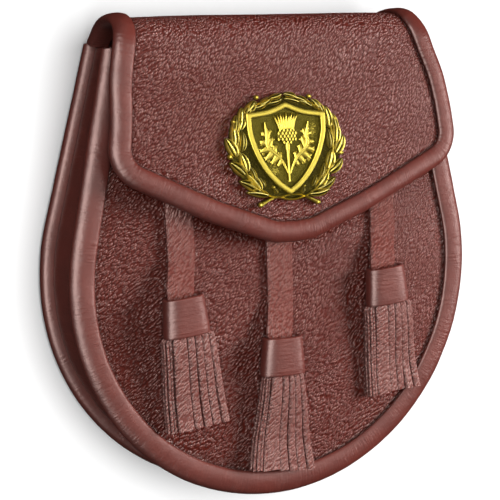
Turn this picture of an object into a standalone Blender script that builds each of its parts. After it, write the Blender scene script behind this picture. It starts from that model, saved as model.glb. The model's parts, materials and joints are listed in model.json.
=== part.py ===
"""A leather day sporran: a flat round pouch with a pointed flap, three tassels and a thistle badge.

The pouch lies on its back. X runs to the right, Y towards the flap's fold and Z out of the front, so the
floor is at Z = 0. Every leather piece is a sheet of real thickness: the two panels and the gusset make a
hollow pouch that is open at the mouth, and folded strips of leather bind the edges. All sizes are in
millimetres and are turned into metres where a mesh is made.
"""
import math

import bmesh
import bpy
from mathutils import Matrix, Vector

MM = 0.001
CLEAR = 0.3                          # gap left between neighbouring pieces

# The pouch's outline: a circle below, and straight sides that lean inwards above it.
POUCH_WIDTH = 178.8
BACK_LEAN = math.radians(16.2)
FRONT_LEAN = math.radians(12.4)
MOUTH_Y = 180.2                      # open top edge of the gusset and the front panel
BACK_TOP_Y = 182.0                   # top edge of the back panel and its binding
POUCH_DEPTH = 33.5
FULL_HEIGHT = 192.75                 # from the lowest point to the top of the flap's fold
RADIUS = POUCH_WIDTH / 2
ARC_STEPS = 14
SIDE_LEVELS = (130.0, 148.0, 164.0)  # heights of the rows between the circle and the mouth

# Leather thicknesses.
PANEL_LEATHER = 1.8
BINDING_LEATHER = 1.3
BINDING_DEPTH = 5.0                  # a folded binding from its front face to its back face
BINDING_FACE = 9.5                   # width of the binding seen from the front
BINDING_RETURN = 6.5                 # width of the lip that the gusset is sewn to
PANEL_EDGE = 3.2                     # how far a panel's edge lies inside the binding's outer edge

# The panels' relief.
CROWN = 4.0                          # bulge of the front panel
CROWN_START = 11.0                   # distance from the edge where the bulge begins
CROWN_END = 60.0
DISH = 5.4                           # the back panel is pressed in behind the belt loops
DISH_START = 9.0
DISH_END = 25.0
DISH_FADE_Y = SIDE_LEVELS[1:]        # the dish fades out towards the mouth
GUSSET_EDGE = 5.5
GUSSET_FOLD = 3.0                    # how far the gusset folds inwards at half its depth

# The flap. Its section runs from the seam inside the back panel over the fold to the tip: y, z, radius.
FLAP_SECTION = (
    (166.0, 4.7, 0.0),
    (180.6, 4.7, 10.0),
    (189.4, 19.2, 24.0),
    (189.9, 39.2, 10.5),
    (104.0, 42.6, 0.0),
)
FLAP_SHIFT = (-1.5, 2.4, 0.4)        # the flap hangs askew: its middle at the fold, lower and at the tip
FLAP_SHIFT_RUNS = (48.0, 88.0)
FLAP_TILT = 0.9                      # the fold is this much higher at its left end, and lower at its right
FLAP_DROOP = 1.0                     # how much lower the flap lies at its sides than in the middle
FLAP_TUCK = 56.0                     # half width of the part inside the pouch
FLAP_TUCK_RUN = 16.2
FLAP_EDGE_RUN = 16.8                 # the flap's own binding starts here, above the back panel
FLAP_EDGE_INSET = 2.0
FLAP_BINDING_FACE = 7.5
FLAP_BINDING_LEATHER = 1.0
# Corners of the flap's bound edge: half width, height on the front, corner radius, steps round it.
FLAP_CORNERS = (
    (67.0, 188.0, 20.0, 2),
    (73.4, 166.0, 60.0, 2),
    (77.8, 132.2, 15.0, 6),
    (36.0, 113.4, 90.0, 2),
    (9.0, 103.8, 22.0, 2),
    (0.0, 103.4, 0.0, 0),
)
FLAP_HALF_WIDTH = FLAP_CORNERS[2][0]
FLAP_BACK_CORNER = 65.2              # half width where the binding starts
FLAP_ROW_RUNS = (0.0, 8.0, FLAP_TUCK_RUN)
FLAP_COLUMNS = (-1.0, -0.8, -0.5, 0.0, 0.5, 0.8, 1.0)
FLAP_BINDING_GAP = 0.35              # between the binding's lips and the flap's leather
FLAP_FOLD_END = 58.5                 # the leather is curved up to here and nearly flat after it
FLAP_ROW_STEPS = (3.0, 13.0)         # distance between rows on the fold and after it

# Straps and tassels: name, x, top of the strap, top of the head, fringe's end, lean of the head,
# how far the fringe's end swings to the right besides, and the width there.
TASSELS = (
    ("left", -47.0, 133.0, 86.3, 33.6, math.radians(4.0), 2.6, 23.4),
    ("middle", -4.6, 118.0, 65.6, 13.6, math.radians(0.5), 2.4, 26.4),
    ("right", 44.2, 133.0, 88.2, 35.0, math.radians(3.5), 2.6, 22.6),
)
STRAP_MIDDLE_SHIFT = 0.9             # a strap's middle lies this far to the right of its tassel's
STRAP_TONGUE = 3.0                   # length of the strap inside the head
STRAP_TONGUE_WIDTH = 11.0
STRAP_RISE = 16.0                    # the strap leaves the panel this far above the head
STRAP_WIDTH = 11.6
STRAP_LEATHER = 1.6
STRAP_ROWS = (0.0, 0.25, 0.5, 0.68, 0.82, 0.92, 1.0)
HEAD_WIDTH = 16.6
HEAD_THICKNESS = 8.6
HEAD_LENGTH = 14.2
HEAD_LEATHER = 1.5
HEAD_SIDES = 16
PLUG_DROP = 5.0                      # the fringe's rolled top starts this far below the head's rim
FRINGE_STRIP = 1.5                   # thickness of a cut strip
# Strips of a fringe: layer, centre at the head and at the end (shares of the half width), and width
# at the end (share of the whole width).
FRINGE_STRIPS = (
    ("back", -0.80, -0.81, 0.190),
    ("back", -0.41, -0.41, 0.190),
    ("back", 0.00, 0.00, 0.200),
    ("back", 0.41, 0.41, 0.190),
    ("back", 0.80, 0.81, 0.190),
    ("front", -0.87, -0.92, 0.073),
    ("front", -0.63, -0.67, 0.138),
    ("front", -0.16, -0.19, 0.310),
    ("front", 0.34, 0.31, 0.160),
    ("front", 0.71, 0.68, 0.165),
)
FRINGE_LAYER_GAP = 0.9               # between the strips below and the strips above

# The badge, in its own plane about its centre.
BADGE_CENTRE = (-1.6, 139.6)
BADGE_TURN = math.radians(2.5)
WREATH = (22.8, 17.9, 18.4)          # the wreath's middle line: half width, and reach below and above
BASE_PLATE = (24.2, 19.4, 19.8)       # the plate below the leaves, measured the same way
BASE_THICKNESS = 1.3
WREATH_TURN = (-72.0, 94.0)          # where the leaves of one side start and end, in degrees
LEAVES_PER_SIDE = 7
LEAF_LENGTH = 8.6
LEAF_WIDTH = 3.8
LEAF_TOP = 2.7
# Half of the shield, from its peak to its point.
SHIELD = ((0.0, 17.7), (7.5, 15.0), (17.6, 13.5), (17.1, 5.5), (14.4, -2.5),
          (10.2, -9.3), (5.3, -14.4), (0.0, -18.0))
SHIELD_FIELD = 1.9
SHIELD_RIM = 3.2
SHIELD_RIM_WIDTH = 2.2
# Half of a thistle leaf's outline on the right side, from the stem outwards and back.
THISTLE_LEAF = ((2.2, -8.3), (3.0, -5.6), (4.6, -5.8), (5.4, -3.8), (7.4, -4.9), (7.5, -3.2),
                (10.4, -4.2), (9.4, -2.1), (12.0, -1.2), (10.2, 0.3), (11.6, 2.6), (9.8, 2.9),
                (9.3, 5.4), (8.0, 8.8), (7.0, 8.2), (7.9, 5.2), (6.6, 3.2), (8.2, 1.0),
                (6.4, -0.6), (4.2, 0.4), (4.4, -2.6), (2.6, -3.8))
THISTLE_TOP = 3.0
POST_RADIUS = 1.8
POST_HOLE_RADIUS = 2.2
RIVET_RADIUS = 4.0
RIVET_THICKNESS = 1.0

# Hidden pieces: the clasp under the flap and the belt loops on the back.
CLASP_Y = 127.0
CLASP_RADIUS = 6.0
LOOP_X = 38.0                        # the belt loops stand left and right of the middle
LOOP_Y = (102.0, 146.0)
LOOP_WIDTH = 16.0
LOOP_LEATHER = 1.8
LOOP_FOOT = 6.0                      # length that is sewn down at both ends
LOOP_RAMP = 3.5
LOOP_FLAT_Z = 1.2                    # middle of the leather where the loop stands clear of the panel
LOOP_FOOT_Z = 5.8                    # middle of the leather where it is sewn down

# Colours (linear) and finishes: colour, roughness, metallic.
FINISHES = {
    "grain_leather": ((0.155, 0.043, 0.036, 1.0), 0.55, 0.0),
    "smooth_leather": ((0.150, 0.038, 0.032, 1.0), 0.38, 0.0),
    "antique_brass": ((0.62, 0.47, 0.12, 1.0), 0.30, 1.0),
}


def clear_scene():
    """Remove whatever the file starts with."""
    for obj in list(bpy.data.objects):
        bpy.data.objects.remove(obj, do_unlink=True)


def make_collection(name):
    """A collection linked to the scene."""
    collection = bpy.data.collections.new(name)
    bpy.context.scene.collection.children.link(collection)
    return collection


def make_material(name, finish):
    """A Principled material for one piece."""
    colour, roughness, metallic = FINISHES[finish]
    material = bpy.data.materials.new(name)
    material.use_nodes = True
    shader = material.node_tree.nodes["Principled BSDF"]
    shader.inputs["Base Color"].default_value = colour
    shader.inputs["Roughness"].default_value = roughness
    shader.inputs["Metallic"].default_value = metallic
    material.diffuse_color = colour
    return material


class Workshop:
    """Holds the collections and the empty that all pieces hang from."""

    def __init__(self):
        self.pieces = make_collection("sporran_pouch")
        self.cutters = make_collection("sporran_cutters")
        self.root = bpy.data.objects.new("sporran_root", None)
        self.root.location = (0.0, -FULL_HEIGHT / 2 * MM, 0.0)
        self.pieces.objects.link(self.root)

    def add(self, name, mesh, finish):
        """A visible piece with its own material."""
        obj = bpy.data.objects.new(name, mesh)
        obj.parent = self.root
        mesh.materials.append(make_material(name, finish))
        self.pieces.objects.link(obj)
        return obj

    def add_cutter(self, name, mesh, collection=None):
        """A hidden shape that a Boolean modifier reads."""
        obj = bpy.data.objects.new(name, mesh)
        obj.parent = self.root
        obj.hide_render = True
        obj.display_type = "WIRE"
        (collection or self.cutters).objects.link(obj)
        return obj


# ---------------------------------------------------------------- mesh helpers

def finish_mesh(name, bm):
    """Turn a bmesh in millimetres into a mesh in metres with smooth shading."""
    bmesh.ops.recalc_face_normals(bm, faces=bm.faces)
    bmesh.ops.scale(bm, vec=Vector((MM, MM, MM)), verts=bm.verts)
    mesh = bpy.data.meshes.new(name)
    bm.to_mesh(mesh)
    bm.free()
    mesh.shade_smooth()
    mesh.set_sharp_from_angle(angle=math.radians(40))
    return mesh


def sheet_mesh(name, rows, wrap=False):
    """An open surface through rows of points. With wrap the last column joins the first."""
    bm = bmesh.new()
    grid = [[bm.verts.new(point) for point in row] for row in rows]
    for lower, upper in zip(grid, grid[1:]):
        columns = range(len(lower)) if wrap else range(1, len(lower))
        for i in columns:
            bm.faces.new((lower[i - 1], lower[i], upper[i], upper[i - 1]))
    return finish_mesh(name, bm)


def add_solid_rings(bm, rings):
    """A closed body through rings of points, with a cap at both ends."""
    grid = [[bm.verts.new(point) for point in ring] for ring in rings]
    for lower, upper in zip(grid, grid[1:]):
        for i in range(len(lower)):
            bm.faces.new((lower[i - 1], lower[i], upper[i], upper[i - 1]))
    bm.faces.new(reversed(grid[0]))
    bm.faces.new(grid[-1])


def solid_mesh(name, rings):
    """One closed body through rings of points."""
    bm = bmesh.new()
    add_solid_rings(bm, rings)
    return finish_mesh(name, bm)


def prism_mesh(name, outline_points, low, high):
    """A flat outline raised from one height to another."""
    rings = [[(x, y, z) for x, y in outline_points] for z in (low, high)]
    return solid_mesh(name, rings)


def cylinder_mesh(name, centre, radius, low, high, sides=20):
    """An upright cylinder."""
    bm = bmesh.new()
    place = Matrix.Translation((centre[0], centre[1], (low + high) / 2))
    bmesh.ops.create_cone(bm, cap_ends=True, segments=sides, radius1=radius, radius2=radius,
                          depth=high - low, matrix=place)
    return finish_mesh(name, bm)


def thicken(obj, thickness):
    """Give a sheet its leather thickness, half to each side."""
    solidify = obj.modifiers.new("leather", "SOLIDIFY")
    solidify.thickness = thickness * MM
    solidify.offset = 0.0
    solidify.use_even_offset = True


def join_all(obj, collection):
    """Fuse every shape of a collection to an object."""
    union = obj.modifiers.new("fuse", "BOOLEAN")
    union.operation = "UNION"
    union.solver = "EXACT"
    union.operand_type = "COLLECTION"
    union.collection = collection


def cut(obj, cutter):
    """Cut one hidden shape out of an object."""
    difference = obj.modifiers.new("cut", "BOOLEAN")
    difference.operation = "DIFFERENCE"
    difference.solver = "EXACT"
    difference.object = cutter


def smooth_step(value):
    """0 below 0, 1 above 1, and a smooth rise between."""
    t = min(max(value, 0.0), 1.0)
    return t * t * (3 - 2 * t)


# ---------------------------------------------------------------- the pouch

def side_lean(z):
    """The sides lean more at the back of the pouch than at its front."""
    return BACK_LEAN + (FRONT_LEAN - BACK_LEAN) * z / POUCH_DEPTH


def outline(inset, top, lean):
    """The pouch's edge moved inwards: (x, y) points from the top left round the bottom to the right."""
    radius = RADIUS - inset
    half = []
    for i in range(ARC_STEPS + 1):
        angle = -math.pi / 2 + (math.pi / 2 + lean) * i / ARC_STEPS
        half.append((radius * math.cos(angle), RADIUS + radius * math.sin(angle)))
    start_x, start_y = half[-1]
    for y in SIDE_LEVELS + (top,):
        half.append((start_x - (y - start_y) * math.tan(lean), y))
    left = [(-x, y) for x, y in reversed(half[1:])]
    return left + half


def edge_distance(x, y, lean):
    """How far a point inside the outline lies from the edge."""
    side = RADIUS - abs(x) * math.cos(lean) - (y - RADIUS) * math.sin(lean)
    above_arc = y - RADIUS > abs(x) * math.tan(lean)
    return side if above_arc else RADIUS - math.hypot(x, y - RADIUS)


def front_height(x, y):
    """Middle of the front panel's leather."""
    rise = (edge_distance(x, y, FRONT_LEAN) - CROWN_START) / (CROWN_END - CROWN_START)
    t = min(max(rise, 0.0), 1.0)
    return POUCH_DEPTH - BINDING_DEPTH / 2 + CROWN * (1 - (1 - t) ** 2)


def back_height(x, y):
    """Middle of the back panel's leather."""
    inwards = smooth_step((edge_distance(x, y, BACK_LEAN) - DISH_START) / (DISH_END - DISH_START))
    low, high = DISH_FADE_Y
    fade = 1 - smooth_step((y - low) / (high - low))
    return BINDING_DEPTH / 2 + DISH * inwards * fade


def panel_mesh(name, insets, top, lean, height):
    """A panel as rings that follow the outline, closed across the innermost ring."""
    bm = bmesh.new()
    rings = []
    for inset in insets:
        points = outline(inset, top, lean)
        rings.append([bm.verts.new((x, y, height(x, y))) for x, y in points])
    for outer, inner in zip(rings, rings[1:]):
        for i in range(1, len(outer)):
            bm.faces.new((outer[i - 1], outer[i], inner[i], inner[i - 1]))
    core = rings[-1]
    middle = len(core) // 2
    for i in range(middle - 1):
        bm.faces.new((core[i], core[i + 1], core[-2 - i], core[-1 - i]))
    bm.faces.new((core[middle - 1], core[middle], core[middle + 1]))
    return finish_mesh(name, bm)


def make_panels(shop):
    """The front panel bulges out, the back panel is pressed in."""
    insets = (PANEL_EDGE, CROWN_START, 20.0, 32.0, 46.0, CROWN_END)
    mesh = panel_mesh("front_panel", insets, MOUTH_Y, FRONT_LEAN, front_height)
    front = shop.add("front_panel", mesh, "grain_leather")
    thicken(front, PANEL_LEATHER)
    insets = (PANEL_EDGE, DISH_START, 13.0, 17.0, 21.0, DISH_END, 45.0)
    mesh = panel_mesh("back_panel", insets, BACK_TOP_Y, BACK_LEAN, back_height)
    back = shop.add("back_panel", mesh, "grain_leather")
    thicken(back, PANEL_LEATHER)


def make_gusset(shop):
    """The side wall between the two bindings, folded inwards along its middle."""
    low = BINDING_DEPTH + CLEAR
    high = POUCH_DEPTH - BINDING_DEPTH - CLEAR
    straight = 2.5
    profile = (
        (GUSSET_EDGE, low),
        (GUSSET_EDGE, low + straight),
        (GUSSET_EDGE + GUSSET_FOLD, (low + high) / 2),
        (GUSSET_EDGE, high - straight),
        (GUSSET_EDGE, high),
    )
    rows = [[(x, y, z) for x, y in outline(inset, MOUTH_Y, side_lean(z))] for inset, z in profile]
    gusset = shop.add("gusset", sheet_mesh("gusset", rows), "smooth_leather")
    thicken(gusset, PANEL_LEATHER)


def fold_profile(face, back):
    """Middle line of a folded binding: (inset, height above its middle), from its face to its back."""
    skin = BINDING_LEATHER / 2
    lip = BINDING_DEPTH / 2 - skin
    return (
        (face, lip),
        (skin + 2.2, lip),
        (skin + 0.5, lip - 0.75),
        (skin + 0.0, 0.0),
        (skin + 0.5, 0.75 - lip),
        (skin + 2.2, -lip),
        (back, -lip),
    )


def make_pouch_bindings(shop):
    """Folded strips round the front and the back panel. Their narrow lips face each other."""
    half = BINDING_DEPTH / 2
    sides = (("front_binding", POUCH_DEPTH - half, 1, MOUTH_Y, FRONT_LEAN),
             ("back_binding", half, -1, BACK_TOP_Y, BACK_LEAN))
    for name, middle, facing, top, lean in sides:
        profile = fold_profile(BINDING_FACE, BINDING_RETURN)
        rows = [[(x, y, middle + facing * height) for x, y in outline(inset, top, lean)]
                for inset, height in profile]
        binding = shop.add(name, sheet_mesh(name, rows), "smooth_leather")
        thicken(binding, BINDING_LEATHER)


# ---------------------------------------------------------------- the flap

def arc_between(centre, radius, start, turn, steps):
    """Points of an arc: start is an angle, turn is how far it runs."""
    return [(centre[0] + radius * math.cos(start + turn * i / steps),
             centre[1] + radius * math.sin(start + turn * i / steps)) for i in range(steps + 1)]


def rounded_path(corners):
    """A polyline with rounded corners through rows of (a, b, radius, steps)."""
    points = [corners[0][:2]]
    for before, corner, after in zip(corners, corners[1:], corners[2:]):
        here = Vector(corner[:2])
        incoming = (here - Vector(before[:2])).normalized()
        outgoing = (Vector(after[:2]) - here).normalized()
        turn = math.atan2(incoming.x * outgoing.y - incoming.y * outgoing.x, incoming.dot(outgoing))
        side = math.copysign(1.0, turn)
        reach = corner[2] * math.tan(abs(turn) / 2)
        normal = Vector((-incoming.y, incoming.x)) * side
        centre = here - incoming * reach + normal * corner[2]
        start = math.atan2(-normal.y, -normal.x)
        points += arc_between(centre, corner[2], start, turn, corner[3])
    points.append(corners[-1][:2])
    return points


def flap_section():
    """The flap's middle line from its seam over the fold to its tip, as (y, z) points."""
    steps = 24
    corners = [(y, z, radius, steps) for y, z, radius in FLAP_SECTION]
    return [Vector(point) for point in rounded_path(corners)]


SECTION = flap_section()


def section_at(run):
    """Point and outward normal of the flap's section at a distance along the leather."""
    left = run
    for start, end in zip(SECTION, SECTION[1:]):
        length = (end - start).length
        if left <= length or end is SECTION[-1]:
            break
        left -= length
    direction = (end - start).normalized()
    return start + direction * left, Vector((direction.y, -direction.x))


def flap_run(y):
    """Distance along the leather of a height on the flap's front face."""
    top = SECTION[-2]
    to_top = sum((b - a).length for a, b in zip(SECTION[:-1], SECTION[1:-1]))
    slope = (SECTION[-1] - top).normalized()
    return to_top + (y - top.x) / slope.x


FLAP_TIP_RUNS = (flap_run(FLAP_CORNERS[2][1]), flap_run(FLAP_CORNERS[-1][1]))


def flap_point(across, run, lift=0.0):
    """A point of the flap: across its width, along the leather and lifted off its middle."""
    point, normal = section_at(run)
    start, end = FLAP_SHIFT_RUNS
    lower = smooth_step((run - start) / (end - start))
    tip = smooth_step((run - FLAP_TIP_RUNS[0]) / (FLAP_TIP_RUNS[1] - FLAP_TIP_RUNS[0]))
    shift = FLAP_SHIFT[0] + (FLAP_SHIFT[1] - FLAP_SHIFT[0]) * lower + (FLAP_SHIFT[2] - FLAP_SHIFT[1]) * tip
    droop = FLAP_DROOP * lower * (abs(across) / FLAP_HALF_WIDTH) ** 2.5
    tilt = FLAP_TILT * across / FLAP_BACK_CORNER * smooth_step((run - FLAP_EDGE_RUN) / 15.0) * (1 - lower)
    return (across + shift, point.x + normal.x * lift - tilt, point.y + normal.y * lift - droop)


def flap_edge(inset):
    """The flap's right-hand edge moved inwards: (across, run) points from the back to the tip."""
    corners = [(FLAP_BACK_CORNER, FLAP_EDGE_RUN, 0.0, 0)]
    corners += [(half, flap_run(y), radius, steps) for half, y, radius, steps in FLAP_CORNERS]
    line = [Vector(point) for point in rounded_path(corners)]
    spaced = []
    for start, end in zip(line, line[1:]):
        step = FLAP_ROW_STEPS[0] if start.y < FLAP_FOLD_END else FLAP_ROW_STEPS[1]
        pieces = max(1, round((end - start).length / step))
        spaced += [start.lerp(end, i / pieces) for i in range(pieces)]
    spaced.append(line[-1])
    moved = []
    for i, point in enumerate(spaced):
        before = spaced[max(i - 1, 0)]
        after = spaced[min(i + 1, len(spaced) - 1)]
        tangent = (after - before).normalized()
        if i in (0, len(spaced) - 1):
            tangent = Vector((0.0, 1.0)) if i == 0 else Vector((-1.0, 0.0))
        moved.append(point + Vector((-tangent.y, tangent.x)) * inset)
    return moved


def make_flap(shop):
    """The flap's leather: rows across it from the seam to the blunt tip."""
    rows = [(FLAP_TUCK, run) for run in FLAP_ROW_RUNS]
    rows += [(point.x, point.y) for point in flap_edge(FLAP_EDGE_INSET) if point.x > 2.0]
    grid = []
    for half, run in rows:
        grid.append([flap_point(half * share, run) for share in FLAP_COLUMNS])
    flap = shop.add("flap", sheet_mesh("flap", grid), "grain_leather")
    thicken(flap, PANEL_LEATHER)
    low, high = badge_floor() - 6.0, badge_floor() + 3.0
    hole = cylinder_mesh("post_hole", BADGE_CENTRE, POST_HOLE_RADIUS, low, high)
    cut(flap, shop.add_cutter("post_hole", hole))


def make_flap_binding(shop):
    """The folded strip round the flap's sides and tip."""
    lip = PANEL_LEATHER / 2 + FLAP_BINDING_GAP + FLAP_BINDING_LEATHER / 2
    skin = FLAP_BINDING_LEATHER / 2
    profile = ((FLAP_BINDING_FACE, lip), (skin + 1.6, lip), (skin, lip / 2),
               (skin, -lip / 2), (skin + 1.6, -lip), (FLAP_BINDING_FACE, -lip))
    rows = []
    for inset, lift in profile:
        right = [(point.x, point.y) for point in flap_edge(inset)]
        left = [(-across, run) for across, run in right[:-1]]
        rows.append([flap_point(across, run, lift) for across, run in left + right[::-1]])
    binding = shop.add("flap_binding", sheet_mesh("flap_binding", rows), "smooth_leather")
    thicken(binding, FLAP_BINDING_LEATHER)


# ---------------------------------------------------------------- straps and tassels

def ellipse(centre, half_width, half_depth, y, sides):
    """A flattened round section across a tassel: (x, y, z) points."""
    turns = [2 * math.pi * i / sides for i in range(sides)]
    squared = 0.75                   # under 1 the section is squarer than an ellipse
    points = []
    for turn in turns:
        c, s = math.cos(turn), math.sin(turn)
        x = math.copysign(abs(c) ** squared, c) * half_width
        z = math.copysign(abs(s) ** squared, s) * half_depth
        points.append((centre[0] + x, y, centre[1] + z))
    return points


def head_middle(x, head_top):
    """Depth of a tassel's axis: its head rests on the front panel."""
    reach = HEAD_WIDTH / 4
    places = [(dx, dy) for dx in (-reach, 0.0, reach) for dy in (0.0, HEAD_LENGTH)]
    highest = max(front_height(x + dx, head_top - dy) for dx, dy in places)
    return highest + PANEL_LEATHER / 2 + CLEAR + HEAD_THICKNESS / 2


def swing(point, x, head_top, lean):
    """Turn a point of a tassel about the middle of its head's top edge."""
    dx, dy = point[0] - x, point[1] - head_top
    return (x + dx * math.cos(lean) - dy * math.sin(lean),
            head_top + dx * math.sin(lean) + dy * math.cos(lean), point[2])


def make_strap(shop, name, x, top, head_top):
    """A strap that lies on the front panel. Its narrower tongue rises into the tassel's head."""
    lift = PANEL_LEATHER / 2 + CLEAR + STRAP_LEATHER / 2
    bottom = head_top - STRAP_TONGUE
    inside = head_middle(x, head_top) - 0.5
    rows = []
    for share in STRAP_ROWS:
        y = top + (bottom - top) * share
        rise = smooth_step((head_top + STRAP_RISE - y) / STRAP_RISE)
        narrow = smooth_step((head_top + 3.0 - y) / 2.0)
        half = (STRAP_WIDTH + (STRAP_TONGUE_WIDTH - STRAP_WIDTH) * narrow) / 2
        row = []
        for dx in (-half, 0.0, half):
            place = x + dx + STRAP_MIDDLE_SHIFT * (1 - rise)
            resting = front_height(place, y) + lift
            row.append((place, y, resting * (1 - rise) + inside * rise))
        rows.append(row)
    strap = shop.add(name, sheet_mesh(name, rows), "grain_leather")
    thicken(strap, STRAP_LEATHER)


def make_head(shop, name, x, top, lean):
    """The leather wrapped round the top of a tassel, open at both ends."""
    centre = (x, head_middle(x, top))
    half_width = (HEAD_WIDTH - HEAD_LEATHER) / 2
    half_depth = (HEAD_THICKNESS - HEAD_LEATHER) / 2
    rows = [ellipse(centre, half_width * widen, half_depth, y, HEAD_SIDES)
            for y, widen in ((top, 1.0), (top - HEAD_LENGTH / 2, 0.99), (top - HEAD_LENGTH, 1.04))]
    rows = [[swing(point, x, top, lean) for point in row] for row in rows]
    head = shop.add(name, sheet_mesh(name, rows, wrap=True), "smooth_leather")
    thicken(head, HEAD_LEATHER)


def resting_height(x, y):
    """Top of what a fringe rests on: the front panel or the face of its binding."""
    if edge_distance(x, y, FRONT_LEAN) < BINDING_FACE + 1.5:
        return POUCH_DEPTH
    return front_height(x, y) + PANEL_LEATHER / 2


def strip_rings(x, head_top, end, lean, sway, width, layer, start_share, end_share, width_share):
    """Sections of one cut strip, from inside the head to the fringe's end."""
    plug_bottom = head_top - HEAD_LENGTH + 2.5
    middle = head_middle(x, head_top)
    half_top = HEAD_WIDTH / 2 - HEAD_LEATHER - CLEAR - 0.9
    bulge = 1 - start_share ** 2     # the roll inside the head is thin at its sides
    rings = []
    for share in (0.0, 0.16, 0.4, 0.7, 1.0):
        y = plug_bottom + (end - plug_bottom) * share
        spread = share ** 0.55
        centre = x + half_top * start_share * (1 - spread) + width / 2 * end_share * spread + sway * share
        half = width_share * (half_top * (1 - spread) + width / 2 * spread)
        if layer == "front":
            z = middle + 1.5 * bulge + 0.4 * spread
        else:
            z = middle - 1.6 * bulge
        corners = [swing((centre + dx, y, 0.0), x, head_top, lean) for dx in (-half, half)]
        rest = max(resting_height(px, py) for px, py, _ in corners) + CLEAR + FRINGE_STRIP / 2
        lift = rest if layer == "back" else rest + FRINGE_STRIP + FRINGE_LAYER_GAP
        z = max(z * (1 - spread) + lift * spread, lift) if share > 0.2 else z
        thick = FRINGE_STRIP / 2
        section = ((-half, -thick), (half, -thick), (half, thick), (-half, thick))
        rings.append([swing((centre + dx, y, z + dz), x, head_top, lean) for dx, dz in section])
    return rings


def make_fringe(shop, name, x, head_top, end, lean, sway, width):
    """The rolled top of a fringe inside its head, with the cut strips fused to it."""
    centre = (x, head_middle(x, head_top))
    half_width = HEAD_WIDTH / 2 - HEAD_LEATHER - CLEAR - 0.15
    half_depth = HEAD_THICKNESS / 2 - HEAD_LEATHER - CLEAR - 0.15
    plug_rows = (head_top - PLUG_DROP, head_top - HEAD_LENGTH + 1.0)
    rows = [ellipse(centre, half_width, half_depth, y, 12) for y in plug_rows]
    plug = solid_mesh(name, [[swing(point, x, head_top, lean) for point in row] for row in rows])
    fringe = shop.add(name, plug, "grain_leather")
    strips = bpy.data.collections.new(name + "_strips")
    shop.cutters.children.link(strips)
    for i, strip in enumerate(FRINGE_STRIPS):
        rings = strip_rings(x, head_top, end, lean, sway, width, *strip)
        strip_name = "%s_strip_%d" % (name, i)
        shop.add_cutter(strip_name, solid_mesh(strip_name, rings), strips)
    join_all(fringe, strips)


def make_tassels(shop):
    """Three straps, each with a wrapped head and a fringe."""
    for side, x, strap_top, head_top, end, lean, sway, width in TASSELS:
        make_strap(shop, "strap_" + side, x, strap_top, head_top)
        make_head(shop, "tassel_head_" + side, x, head_top, lean)
        make_fringe(shop, "tassel_fringe_" + side, x, head_top, end, lean, sway, width)


# ---------------------------------------------------------------- the badge

def badge_floor():
    """Depth of the badge's back, just above the flap's leather."""
    run = flap_run(BADGE_CENTRE[1])
    return flap_point(0.0, run, PANEL_LEATHER / 2)[2] + CLEAR


def mirrored(half):
    """A closed outline from its right half, whose ends lie on the middle line."""
    return list(half) + [(-x, y) for x, y in reversed(half[1:-1])]


def shrink(points, inset):
    """An outline moved inwards by an equal distance, corner by corner."""
    moved = []
    count = len(points)
    for i in range(count):
        here = Vector(points[i])
        before = (here - Vector(points[i - 1])).normalized()
        after = (Vector(points[(i + 1) % count]) - here).normalized()
        inwards = Vector((before.y + after.y, -before.x - after.x)) * 0.5
        moved.append(here + inwards * (inset / max(inwards.length_squared, 0.2)))
    return moved


def leaf_rings(base, direction, length, width, low, top):
    """A pointed leaf with a ridge, lying along a direction in the badge's plane."""
    across = Vector((-direction.y, direction.x))
    outline_shares = ((0.0, 0.0), (0.30, 0.42), (0.62, 0.46), (1.0, 0.0), (0.62, -0.46), (0.30, -0.42))
    rings = []
    for height, spread, shorten in ((low, 1.0, 0.0), (top - 0.9, 1.0, 0.0), (top, 0.22, 0.18)):
        ring = []
        for along, side in outline_shares:
            place = 0.5 + (along - 0.5) * (1 - shorten)
            point = base + direction * (place * length) + across * (side * width * spread)
            ring.append((point.x, point.y, height))
        rings.append(ring)
    return rings


def wreath_leaves():
    """Leaf sections of the laurel wreath: an outer and an inner row on both sides."""
    leaves = []
    for side in (1, -1):
        for i in range(LEAVES_PER_SIDE):
            for row, splay, shift in (("outer", 0.30, 0.2), ("inner", -0.26, -0.4)):
                step = (i + (0.0 if row == "outer" else 0.45)) / LEAVES_PER_SIDE
                angle = math.radians(WREATH_TURN[0] + (WREATH_TURN[1] - WREATH_TURN[0]) * step)
                reach = WREATH[1] if angle < 0 else WREATH[2]
                base = Vector(((WREATH[0] + shift) * math.cos(angle), (reach + shift) * math.sin(angle)))
                along = Vector((-WREATH[0] * math.sin(angle), reach * math.cos(angle))).normalized()
                outwards = Vector((along.y, -along.x))
                direction = (along + outwards * splay).normalized()
                base.x *= side
                direction.x *= side
                top = LEAF_TOP - 0.03 * i - (0.25 if row == "inner" else 0.0)
                leaves.append(leaf_rings(base, direction, LEAF_LENGTH, LEAF_WIDTH, 0.5 + 0.02 * i, top))
    return leaves


def bar_rings(start, end, half_start, half_end, low, high):
    """A straight bar in the badge's plane, between two points."""
    direction = (Vector(end) - Vector(start)).normalized()
    across = Vector((-direction.y, direction.x))
    rings = []
    for point, half in ((Vector(start), half_start), (Vector(end), half_end)):
        low_side, high_side = point - across * half, point + across * half
        rings.append([(low_side.x, low_side.y, low), (high_side.x, high_side.y, low),
                      (high_side.x, high_side.y, high - 0.3), (point.x, point.y, high),
                      (low_side.x, low_side.y, high - 0.3)])
    return rings


def thistle_tuft():
    """The spiky crown of the thistle as a fan with a toothed top."""
    spikes = 6
    points = [(2.3, 6.6), (-2.3, 6.6)]
    for i in range(spikes + 1):
        share = i / spikes
        points.append((-4.6 + 9.2 * share, 12.4 + 0.9 * math.sin(math.pi * share)))
        if i < spikes:
            points.append((-3.7 + 7.4 * (i + 0.5) / spikes, 9.6 + 0.8 * math.sin(math.pi * share)))
    return points


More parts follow.
